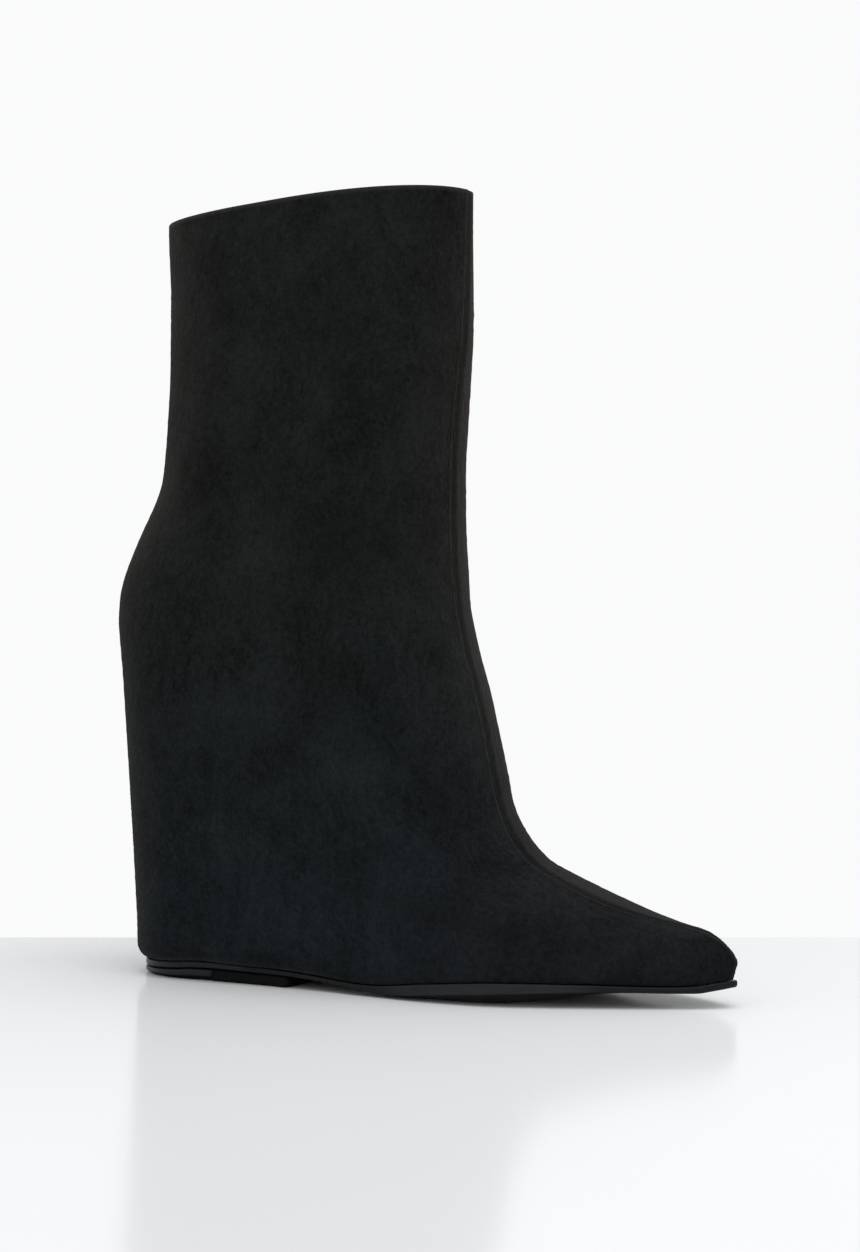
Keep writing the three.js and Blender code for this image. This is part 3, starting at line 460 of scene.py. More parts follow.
def frame_shift():
    """Place of the boot's own origin in the frame, from the lift's front and the sole's side."""
    edge = sole_ring(0.0, rim_at, STATIONS)
    return np.array([
        PLATE_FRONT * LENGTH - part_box("top_lift")[1][0] / MM,
        edge[:, 1].min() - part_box("outsole")[0][1] / MM,
        0.0])


SHIFT = frame_shift()


# Meshes

def quads_of(rows, columns, ring=True, closed=False):
    """Quads between the points of a grid; ring joins the last column to the first, and closed
    the last row to the first."""
    j = np.arange(rows if closed else rows - 1)[:, None]
    i = np.arange(columns if ring else columns - 1)[None, :]
    nj, ni = (j + 1) % rows, (i + 1) % columns
    quads = np.stack([j * columns + i, nj * columns + i, nj * columns + ni, j * columns + ni], -1)
    return quads.reshape(-1, 4)


def caps_of(rows, columns):
    """Quads across the first and the last ring, from each point to its mate on the other side."""
    i = np.arange(columns // 2)
    a, b = i, i + 1
    c, d = (columns - i) % columns, (columns - i - 1) % columns
    low = np.stack([a, b, d, c], -1)
    high = low[:, ::-1] + (rows - 1) * columns
    return np.vstack([low, high])


def make_object(name, points, quads, material, attributes=None):
    """Mesh object at the origin from points in the boot's own millimetres; a quad with two equal
    corners becomes a triangle."""
    verts = (np.asarray(points, float).reshape(-1, 3) - SHIFT) * MM
    same = quads == np.roll(quads, -1, axis=1)
    keep = same.sum(axis=1) == 0
    faces = quads[keep].tolist()
    faces += [q[~s].tolist() for q, s in zip(quads[~keep], same[~keep]) if s.sum() == 1]
    mesh = bpy.data.meshes.new(name)
    mesh.from_pydata(verts.tolist(), [], faces)
    mesh.polygons.foreach_set("use_smooth", np.ones(len(mesh.polygons), bool))
    for key, values in (attributes or {}).items():
        layer = mesh.attributes.new(key, "FLOAT", "POINT")
        layer.data.foreach_set("value", np.asarray(values, np.float32).ravel())
    mesh.materials.append(material)
    mesh.validate()
    mesh.update()
    piece = bpy.data.objects.new(name, mesh)
    bpy.context.collection.objects.link(piece)
    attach(piece, "root")
    return piece


# Creases and the seam

# Soft creases of the upper: points (distance from the front seam with the lateral side positive,
# height), depth and half width, in millimetres
CREASES = [
    ([(118, 157), (96, 160), (70, 166), (42, 170)], 0.55, 5.5),
    ([(112, 143), (88, 141), (60, 146), (34, 158)], 0.45, 6.0),
    ([(14, 132), (30, 129), (52, 131), (78, 128)], 0.40, 6.5),
    ([(8, 112), (24, 106), (46, 104)], 0.35, 6.0),
    ([(10, 88), (26, 80), (50, 76), (78, 80)], 0.35, 7.5),
    ([(8, 64), (22, 54), (44, 48), (66, 50)], 0.40, 7.0),
    ([(6, 44), (18, 36), (34, 30)], 0.35, 5.0),
    ([(24, 214), (48, 209), (76, 212), (100, 208)], 0.30, 8.0),
    ([(22, 186), (50, 181), (84, 185)], 0.35, 8.0),
    ([(-10, 130), (-28, 126), (-56, 129)], 0.40, 6.0),
    ([(-112, 156), (-88, 160), (-58, 164)], 0.45, 6.0),
    ([(-8, 66), (-24, 56), (-48, 52)], 0.40, 6.5),
    ([(-20, 200), (-52, 196), (-86, 202)], 0.30, 8.0),
]

# Soft patches of painted shade on the suede: distance from the front seam, height, half width and
# half height in millimetres, and strength
SHADE_PATCHES = np.array([
    (62, 26, 15, 9, 0.4), (40, 146, 15, 15, 0.34), (52, 103, 16, 10, 0.3), (25, 64, 7, 11, 0.3),
    (44, 214, 11, 13, 0.16), (-46, 120, 17, 13, 0.24), (-40, 34, 13, 9, 0.24),
    (-66, 196, 15, 16, 0.18),
])


def line_distance(px, pz, line):
    """Distance from points to a polyline, and how far along it the nearest place lies, 0 to 1."""
    line = np.asarray(line, float)
    d = np.diff(line, axis=0)
    size = (d * d).sum(axis=1)
    run = np.concatenate([[0], np.cumsum(np.sqrt(size))])
    best = np.full(px.shape, np.inf)
    where = np.zeros(px.shape)
    for k in range(len(d)):
        qx, qz = px - line[k, 0], pz - line[k, 1]
        t = np.clip((qx * d[k, 0] + qz * d[k, 1]) / size[k], 0, 1)
        far = np.hypot(qx - t * d[k, 0], qz - t * d[k, 1])
        near = far < best
        best = np.where(near, far, best)
        where = np.where(near, (run[k] + t * math.sqrt(size[k])) / run[-1], where)
    return best, where


def crease_field(across, z):
    """Sum of the soft creases: each is a Gaussian trough across its line with a low swell on
    both sides, fading to both ends."""
    out = np.zeros(across.shape)
    for line, depth, width in CREASES:
        distance, along = line_distance(across, z, line)
        near = (distance / width) ** 2
        fade = smooth(along / 0.3) * smooth((1 - along) / 0.3)
        out += depth * fade * (0.35 * np.exp(-near / 6.0) - 1.15 * np.exp(-near))
    return out


def bell(t):
    """Gaussian bell, 1 at 0."""
    return np.exp(-t * t)


def shade_patch_field(across, z):
    """Sum of the patches of painted shade, each the product of a bell across and a bell up."""
    return sum(strength * bell((across - at) / wide) * bell((z - height) / tall)
               for at, height, wide, tall, strength in SHADE_PATCHES)


def seam_profile(across, raise_height, groove):
    """Folded edge on the lateral side, the groove of the seam, and a flatter fold with a shallow
    valley on the medial side, as bells over the distance from the seam."""
    lateral = bell((across - 1.0) / 0.62) + 0.35 * bell((across - 2.2) / 1.5)
    medial = 0.45 * bell((across + 4.4) / 1.5) - 0.65 * bell((across + 1.5) / 1.3)
    return raise_height * (lateral + medial) - groove * bell(across / 0.26)


# Materials

class Nodes:
    """A material's node tree, with short calls for the nodes used here."""

    def __init__(self, name):
        self.material = bpy.data.materials.new(name)
        self.material.use_nodes = True
        self.tree = self.material.node_tree
        self.tree.nodes.clear()
        self.out = self.tree.nodes.new("ShaderNodeOutputMaterial")
        self.shader = self.tree.nodes.new("ShaderNodeBsdfPrincipled")
        self.join(self.shader.outputs[0], self.out.inputs[0])
        self.place = self.tree.nodes.new("ShaderNodeTexCoord").outputs["Object"]

    def join(self, a, b):
        """Link an output to an input."""
        self.tree.links.new(a, b)

    def feed(self, socket, value):
        """Link an output to a socket, or set the socket to a plain value."""
        if isinstance(value, bpy.types.NodeSocket):
            self.join(value, socket)
            return
        plain_colour = isinstance(value, (tuple, list)) and len(value) == 3
        if plain_colour and len(socket.default_value) == 4:
            value = (*value, 1.0)
        socket.default_value = value

    def stretched(self, scale):
        """Object coordinates with their own scale on each axis."""
        node = self.tree.nodes.new("ShaderNodeMapping")
        self.join(self.place, node.inputs["Vector"])
        node.inputs["Scale"].default_value = scale
        return node.outputs[0]

    def noise(self, scale, detail=3.0, rough=0.5, warp=0.0, place=None):
        """Cloudy noise on the object's own coordinates, or on stretched ones."""
        node = self.tree.nodes.new("ShaderNodeTexNoise")
        self.join(place or self.place, node.inputs["Vector"])
        node.inputs["Scale"].default_value = scale
        node.inputs["Detail"].default_value = detail
        node.inputs["Roughness"].default_value = rough
        node.inputs["Distortion"].default_value = warp
        return node.outputs["Fac"]

    def cells(self, scale):
        """Distance to the nearest of scattered points, for pebbles and granules."""
        node = self.tree.nodes.new("ShaderNodeTexVoronoi")
        self.join(self.place, node.inputs["Vector"])
        node.inputs["Scale"].default_value = scale
        return node.outputs["Distance"]

    def maths(self, kind, a, b=0.0, c=0.0):
        """One operation on up to three numbers or outputs."""
        node = self.tree.nodes.new("ShaderNodeMath")
        node.operation = kind
        for socket, value in zip(node.inputs, (a, b, c)):
            self.feed(socket, value)
        return node.outputs[0]

    def span(self, value, low, high, to_low=0.0, to_high=1.0):
        """Map a range to another one, held at its ends."""
        node = self.tree.nodes.new("ShaderNodeMapRange")
        self.join(value, node.inputs["Value"])
        for key, number in (("From Min", low), ("From Max", high),
                            ("To Min", to_low), ("To Max", to_high)):
            node.inputs[key].default_value = number
        return node.outputs[0]

    def blend(self, factor, a, b, kind="MIX"):
        """Second colour laid over the first by a factor."""
        node = self.tree.nodes.new("ShaderNodeMix")
        node.data_type = "RGBA"
        node.blend_type = kind
        self.feed(node.inputs[0], factor)
        self.feed(node.inputs[6], a)
        self.feed(node.inputs[7], b)
        return node.outputs[2]

    def shades(self, factor, colour, low, high):
        """Mix of a darker and a lighter shade of one colour."""
        return self.blend(factor, tuple(v * low for v in colour), tuple(v * high for v in colour))

    def attribute(self, name):
        """Number that the mesh holds at each point."""
        node = self.tree.nodes.new("ShaderNodeAttribute")
        node.attribute_name = name
        return node.outputs["Fac"]

    def axis(self, letter):
        """X, Y or Z of the object's own coordinates."""
        node = self.tree.nodes.new("ShaderNodeSeparateXYZ")
        self.join(self.place, node.inputs[0])
        return node.outputs[letter]

    def bump(self, height, strength, distance, before=None):
        """Normal bent by a height, over a normal bent before."""
        node = self.tree.nodes.new("ShaderNodeBump")
        node.inputs["Strength"].default_value = strength
        node.inputs["Distance"].default_value = distance
        self.join(height, node.inputs["Height"])
        if before is not None:
            self.join(before, node.inputs["Normal"])
        return node.outputs[0]

    def finish(self, colour, roughness, normal=None, **sockets):
        """Plug colour, roughness and normal into the shader and set its other sockets."""
        self.feed(self.shader.inputs["Base Color"], colour)
        self.feed(self.shader.inputs["Roughness"], roughness)
        if normal is not None:
            self.join(normal, self.shader.inputs["Normal"])
        for name, value in sockets.items():
            self.feed(self.shader.inputs[name.replace("_", " ")], value)
        return self.material


def suede_material(look):
    """Napped suede: soft clouds where the nap lies differently, running into finer and finer
    mottling, fibre grain, a painted bluish reflection lower down, painted shade in the seam's
    valley and in soft patches, and painted highlights at the seam and on the collar."""
    n = Nodes("suede")
    tall = n.stretched((1.0, 1.0, 0.75))
    clouds = n.noise(36.0, 5.0, 0.85, 0.3, tall)
    grain = n.noise(640.0, 2.0, 1.0, 0.0, n.stretched((1.0, 1.0, 0.8)))
    speck = n.noise(3200.0, 1.0, 0.6)
    mixed = n.maths("MULTIPLY_ADD", n.maths("SUBTRACT", clouds, 0.5), look.cloud_contrast,
                    n.maths("MULTIPLY_ADD", n.maths("SUBTRACT", grain, 0.5), look.grain_contrast,
                            0.5))
    dark, light = tuple(look.suede_dark), tuple(look.suede_light)
    tone = n.blend(mixed, dark, light)
    # Painted bluish reflection on the suede lower down
    low = n.span(n.axis("Z"), 0.03, 0.15, 1.0, 0.0)
    tinted = n.blend(low, tone, n.blend(1.0, tone, tuple(look.low_reflection_tint), "MULTIPLY"))
    ahead = n.span(n.axis("X"), 0.0, 0.05)
    tinted = n.blend(ahead, tinted, n.blend(1.0, tinted, tuple(look.front_tint), "MULTIPLY"))
    # Painted shade: darker in the seam's valley and in soft patches
    tinted = n.blend(n.attribute("painted_shade"), tinted, dark)
    # Painted highlights at the seam's folded edge, in a strip beside it and on the collar, broken
    # by specks
    edge = n.maths("MULTIPLY", n.attribute("painted_light"), n.span(speck, 0.3, 0.7, 0.45, 1.0))
    painted_light = n.blend(edge, tinted, tuple(look.highlight_colour))
    coarse = n.bump(clouds, 0.25, 0.0016)
    fine = n.bump(grain, 0.5, 0.0005, coarse)
    finer = n.bump(speck, 0.3, 0.00016, fine)
    return n.finish(
        painted_light, 1.0, finer, Specular_IOR_Level=0.0, Diffuse_Roughness=1.0,
        Sheen_Weight=look.sheen, Sheen_Roughness=0.45, Sheen_Tint=(*look.sheen_tint, 1.0))


def lining_material(look):
    """Soft black lining: faint fine grain and a little cloudiness."""
    n = Nodes("lining_cloth")
    grain = n.noise(1900.0, 2.0, 0.6)
    cloud = n.noise(60.0, 2.0, 0.5)
    mixed = n.maths("MULTIPLY_ADD", cloud, 0.5, n.maths("MULTIPLY", grain, 0.5))
    tone = n.shades(n.span(mixed, 0.3, 0.7), look.lining_colour, 1.0, 1.7)
    return n.finish(tone, n.span(cloud, 0.3, 0.7, 0.75, 0.9), n.bump(grain, 0.3, 0.0002),
                    Specular_IOR_Level=0.3, Sheen_Weight=0.08, Sheen_Roughness=0.4)


def insole_material(look):
    """Smooth insole: fine pebble grain like lining leather."""
    n = Nodes("insole_leather")
    cloud = n.noise(45.0, 2.0, 0.5)
    tone = n.shades(n.span(cloud, 0.3, 0.7), look.insole_colour, 1.0, 1.6)
    return n.finish(tone, n.span(cloud, 0.3, 0.7, 0.55, 0.7),
                    n.bump(n.cells(750.0), 0.25, 0.0003), Specular_IOR_Level=0.4)


def rubber_material(look):
    """Moulded sole rubber with a satin edge: a painted highlight on its side and painted shade
    underneath, at the waist and at the toe, faint flow marks along it, fine scuffs and specks.
    """
    n = Nodes("sole_rubber")
    flow = n.noise(140.0, 3.0, 0.6, 0.8, n.stretched((0.35, 0.35, 3.0)))
    speck = n.noise(2200.0, 2.0, 0.6)
    # Painted light and shade: the lighter bluish colour is a painted highlight on the side, the
    # dark one painted shade underneath
    shade = n.blend(n.attribute("sole_light_and_shade"), tuple(look.rubber_in_shade), tuple(look.sole_highlight_colour))
    tone = n.blend(n.span(flow, 0.3, 0.72), shade,
                   n.blend(1.0, shade, (1.6, 1.6, 1.6), "MULTIPLY"))
    rough = n.maths("ADD", n.span(flow, 0.25, 0.75, look.rubber_roughness - 0.05,
                                  look.rubber_roughness + 0.08),
                    n.span(speck, 0.55, 0.8, 0.0, 0.12))
    return n.finish(tone, rough, n.bump(speck, 0.15, 0.00012, n.bump(flow, 0.12, 0.0006)),
                    Specular_IOR_Level=0.12)


def plate_material(look):
    """Matt black rubber that touches the floor, slightly dusty, its near-black tone darkened with
    painted shade.
    """
    n = Nodes("plate_rubber")
    speck = n.noise(1500.0, 3.0, 0.6)
    cloud = n.noise(90.0, 3.0, 0.6)
    # Black rubber darkened with painted shade
    tone = n.shades(n.span(cloud, 0.35, 0.7), look.rubber_in_shade, 1.0, 1.8)
    return n.finish(tone, n.span(cloud, 0.3, 0.7, 0.6, 0.75), n.bump(speck, 0.25, 0.00015),
                    Specular_IOR_Level=0.08)


def lift_material(look):
    """Hard heel-lift rubber: thin pressed layers that show as fine lines round the edge."""
    n = Nodes("lift_rubber")
    speck = n.noise(1700.0, 3.0, 0.6)
    cloud = n.noise(120.0, 3.0, 0.6)
    turn = n.maths("MULTIPLY", n.axis("Z"), 2.0 * math.pi / look.layer)
    ridge = n.span(n.maths("SINE", turn), 0.55, 1.0)
    tone = n.shades(n.span(cloud, 0.3, 0.7), look.lift_colour, 0.8, 1.3)
    tone = n.blend(ridge, tone, tuple(v * 1.7 for v in look.lift_colour))
    return n.finish(tone, n.span(cloud, 0.3, 0.7, 0.34, 0.46),
                    n.bump(ridge, 0.5, 0.00015, n.bump(speck, 0.2, 0.00015)),
                    Specular_IOR_Level=0.2)


def cork_material(look):
    """Pressed cork of the hidden wedge: packed granules with dark gaps between them."""
    n = Nodes("wedge_cork")
    granule = n.cells(420.0)
    shade = n.noise(260.0, 3.0, 0.6)
    tone = n.shades(n.span(shade, 0.3, 0.7), look.cork_colour, 0.7, 1.25)
    tone = n.blend(n.span(granule, 0.45, 0.75), tone, tuple(v * 0.25 for v in look.cork_colour))
    return n.finish(tone, n.span(shade, 0.3, 0.7, 0.8, 0.95), n.bump(granule, 0.4, 0.0004),
                    Specular_IOR_Level=0.25)


# Properties

class BootShape(bpy.types.PropertyGroup):
    """Sizes that the dressing adds to the frame."""
    seam_raise: FloatProperty(
        name="Seam raise", description="How far the folded edges of the front seam stand up",
        default=0.00036, min=0.0, max=0.002, precision=5, unit="LENGTH")
    seam_groove: FloatProperty(
        name="Seam groove", description="Depth of the groove between the folded edges",
        default=0.00055, min=0.0, max=0.0008, precision=5, unit="LENGTH")
    crease_depth: FloatProperty(
        name="Crease depth", description="Strength of the soft creases",
        default=1.0, min=0.0, max=2.0, subtype="FACTOR")
    nap_relief: FloatProperty(
        name="Nap relief", description="Unevenness of the suede surface",
        default=0.00005, min=0.0, max=0.0005, precision=6, unit="LENGTH")
    suede_thickness: FloatProperty(
        name="Suede thickness", description="Suede with its backing, without the lining",
        default=0.0009, min=0.0005, max=0.0015, precision=5, unit="LENGTH")
    facing: FloatProperty(
        name="Facing", description="How far the suede turns down inside the collar",
        default=0.007, min=0.002, max=0.02, precision=4, unit="LENGTH")
    side_columns: IntProperty(
        name="Side columns", description="Grid columns on each side of the upper",
        default=160, min=60, max=200)


class BootLook(bpy.types.PropertyGroup):
    """Colours and finishes."""
    suede_dark: FloatVectorProperty(
        name="Suede dark", description="Suede where the nap lies away from the light",
        default=(0.0055, 0.0063, 0.0059), min=0.0, max=1.0, subtype="COLOR")
    suede_light: FloatVectorProperty(
        name="Suede light", description="Suede where the nap catches the light",
        default=(0.0165, 0.0188, 0.0177), min=0.0, max=1.0, subtype="COLOR")
    cloud_contrast: FloatProperty(
        name="Cloud contrast", description="Strength of the soft clouds and mottling",
        default=2.2, min=0.0, max=4.0, subtype="FACTOR")
    grain_contrast: FloatProperty(
        name="Grain contrast", description="Strength of the fibre grain",
        default=1.6, min=0.0, max=4.0, subtype="FACTOR")
    # Painted bluish reflection on the suede near the sole
    low_reflection_tint: FloatVectorProperty(
        name="Lower tint", description="Tint of the suede near the sole",
        default=(0.93, 1.06, 1.27), min=0.0, max=2.0, subtype="COLOR")
    front_tint: FloatVectorProperty(
        name="Front tint", description="Tint of the suede over the forefoot",
        default=(0.95, 0.815, 0.825), min=0.0, max=2.0, subtype="COLOR")
    # Colour of the painted highlights at the seam and on the collar
    highlight_colour: FloatVectorProperty(
        name="Edge highlight", description="Raised edges of the seam and the collar",
        default=(0.0335, 0.0325, 0.0305), min=0.0, max=1.0, subtype="COLOR")
    sheen: FloatProperty(
        name="Sheen", description="Light caught by the nap at a grazing angle",
        default=0.05, min=0.0, max=1.0, subtype="FACTOR")
    sheen_tint: FloatVectorProperty(
        name="Sheen tint", description="Colour of the grazing light",
        default=(0.98, 0.86, 0.78), min=0.0, max=1.0, subtype="COLOR")
    lining_colour: FloatVectorProperty(
        name="Lining", description="Lining inside the shaft",
        default=(0.010, 0.0095, 0.0095), min=0.0, max=1.0, subtype="COLOR")
    insole_colour: FloatVectorProperty(
        name="Insole", description="Insole on the footbed",
        default=(0.012, 0.011, 0.0105), min=0.0, max=1.0, subtype="COLOR")
    lift_colour: FloatVectorProperty(
        name="Lift rubber", description="Heel lift",
        default=(0.0058, 0.0068, 0.0082), min=0.0, max=1.0, subtype="COLOR")
    layer: FloatProperty(
        name="Lift layer", description="Thickness of one pressed layer of the heel lift",
        default=0.0011, min=0.0003, max=0.003, precision=5, unit="LENGTH")
    # Painted bluish highlight on the side of the outsole
    sole_highlight_colour: FloatVectorProperty(
        name="Sole edge", description="Edge of the outsole at the forefoot",
        default=(0.0120, 0.0135, 0.0165), min=0.0, max=1.0, subtype="COLOR")
    # Black rubber darkened with painted shade, for the underside, the shank and the heel plate
    rubber_in_shade: FloatVectorProperty(
        name="Sole rubber", description="Underside of the outsole, the shank and the heel plate",
        default=(0.0022, 0.0023, 0.0025), min=0.0, max=1.0, subtype="COLOR")
    rubber_roughness: FloatProperty(
        name="Sole roughness", description="Roughness of the outsole edge",
        default=0.36, min=0.1, max=1.0, subtype="FACTOR")
    cork_colour: FloatVectorProperty(
        name="Cork", description="Pressed cork of the wedge",
        default=(0.20, 0.12, 0.062), min=0.0, max=1.0, subtype="COLOR")


class BootStage(bpy.types.PropertyGroup):
    """Table, light and camera."""
    wall: FloatVectorProperty(
        name="Backdrop", description="Light coming from all round and the backdrop's tone",
        default=(0.955, 0.958, 0.962), min=0.0, max=2.0, subtype="COLOR")
    floor_colour: FloatVectorProperty(
        name="Table", description="Pale table top",
        default=(0.652, 0.660, 0.670), min=0.0, max=1.0, subtype="COLOR")
    floor_gloss: FloatProperty(
        name="Table gloss", description="Share of light that the table mirrors",
        default=0.18, min=0.0, max=1.0, subtype="FACTOR")
    key_power: FloatProperty(
        name="Side light", description="Power of the soft light above, a little to the right",
        default=6.2, min=0.0, max=100.0, unit="POWER")
    distance: FloatProperty(
        name="Camera distance", description="From the camera to the middle of the boot",
        default=0.783, min=0.3, max=3.0, unit="LENGTH")
    eye_height: FloatProperty(
        name="Camera height", description="Height of the level camera over the table",
        default=0.120, min=0.0, max=1.0, unit="LENGTH")
    azimuth: FloatProperty(
        name="Camera azimuth", description="Turn from the boot's side towards its toe",
        default=math.radians(27.0), unit="ROTATION")
    lens: FloatProperty(
        name="Lens", description="Focal length on a 36 mm sensor",
        default=2350.0 / 1252.0 * 36.0, min=10.0, max=200.0, unit="CAMERA")
    table_depth: FloatProperty(
        name="Table behind", description="From the middle of the boot to the table's back edge",
        default=0.124, min=0.05, max=2.0, unit="LENGTH")


# Operators

class BOOT_OT_upper(bpy.types.Operator):
    """Suede upper with its front seam and soft creases, and the lining inside it"""
    bl_idname = "object.boot_upper"
    bl_label = "Upper and lining"

    def execute(self, context):
        shape, look = context.scene.boot_shape, context.scene.boot_look
        thick = shape.suede_thickness / MM
        down = shape.facing / MM / (HEIGHT - LOWEST)

        # Outer face: the shape's rings moved along their normals by creases, seam and nap
        levels = upper_levels(10, 78, 112)
        base, across = level_rings(levels, shape.side_columns, SEAM_STEPS, CROWDING)
        normals = ring_normals(base)
        folds = crease_field(across, base[:, :, 2]) * shape.crease_depth
        rng = np.random.default_rng(NAP_SEED)
        fuzz = rng.normal(0.0, 1.0, base.shape[:2]) * shape.nap_relief / MM
        seam = seam_profile(across, shape.seam_raise / MM, shape.seam_groove / MM)
        seam *= smooth((levels[:, None] - 0.004) / 0.012)
        outer = base + normals * (folds + seam + fuzz)[..., None]

        # Collar edge: a low half round over the wall, as high as flatness says
        rim = []
        radius, flatness = WALL / 2, 0.15
        sheet = (folds[-1] + seam[-1] * 0.5)[:, None]
        for angle in np.radians(COLLAR_ANGLES):
            inward = radius * (1 - math.cos(angle))
            up = radius * flatness * math.sin(angle)
            ring = base[-1] + normals[-1] * (sheet - inward)
            rim.append(ring + np.array([0.0, 0.0, up]))

        # Inner face: fewer rings, in by the whole wall at the facing and by the suede below it
        picks = np.concatenate([np.arange(len(levels) - 2, 6, -3), [6, 3, 1, 0]])
        depth = np.where(levels[picks] > 1.0 - down, WALL, thick)
        inner = base[picks] + normals[picks] * (folds[picks] - depth[:, None])[..., None]

        # Bottom edge turned under the foot, then all rings from its lower side round to its upper
        under_low = [turned_under(base[0], step) for step in UNDER_STEPS]
        under_high = [ring + np.array([0, 0, thick]) for ring in under_low[1:]]
        stack = np.concatenate([np.array(under_low[::-1]), outer, np.array(rim), inner,
                                np.array(under_high)])
        rows, columns = stack.shape[:2]

        # Painted highlights: the folded edge at the seam, a faint strip of grazing light on its
        # medial side, and the collar.
        # Painted shade: darker in the seam's valley and in soft patches
        painted_light = np.zeros((rows, columns))
        first = len(under_low)
        wall = slice(first, first + len(levels))
        strip = smooth(-(across + 2.6) / 2.0) * (1 - smooth(-(across + 9.0) / 11.0))
        painted_light[wall] = 0.62 * bell((across - 0.95) / 0.5) + 0.26 * strip
        # Painted shade in the seam's valley and in soft patches
        painted_shade = np.zeros((rows, columns))
        painted_shade[wall] = np.maximum(0.75 * bell((across + 1.2) / 1.25),
                                  shade_patch_field(across, base[:, :, 2]))
        # Painted highlight along the top of the collar
        top_band = smooth((levels - 0.9965) / 0.0035)[:, None]
        painted_light[wall] = np.maximum(painted_light[wall], top_band)
        painted_light[wall.stop:wall.stop + len(rim)] = 1.0
        piece = make_object("upper_suede", stack, quads_of(rows, columns, True, True),
                            suede_material(look), {"painted_light": painted_light, "painted_shade": painted_shade})
        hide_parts("upper")

        # Lining: a closed sheet between the suede and the inner face of the wall, with rounded ends
        below_facing, off_suede, off_wall, bow = 0.0012, 0.12, 0.02, 0.25
        levels = np.concatenate([np.linspace(0.02, VAMP_TOP, 34)[:-1],
                                 np.linspace(VAMP_TOP, 1.0 - down - below_facing, 60)])
        base, across = level_rings(levels, 76, LINING_STEPS, CROWDING)
        normals = ring_normals(base)
        folds = crease_field(across, base[:, :, 2]) * shape.crease_depth
        outer = base + normals * (folds - thick - off_suede)[..., None]
        inner = base + normals * (folds - WALL + off_wall)[..., None]
        mid_top = (outer[-1] + inner[-1]) / 2 + np.array([0, 0, bow])
        mid_low = (outer[0] + inner[0]) / 2 - np.array([0, 0, bow])
        stack = np.concatenate([outer, mid_top[None], inner[::-1], mid_low[None]])
        make_object("lining", stack, quads_of(*stack.shape[:2], True, True),
                    lining_material(look))
        return {"FINISHED"}


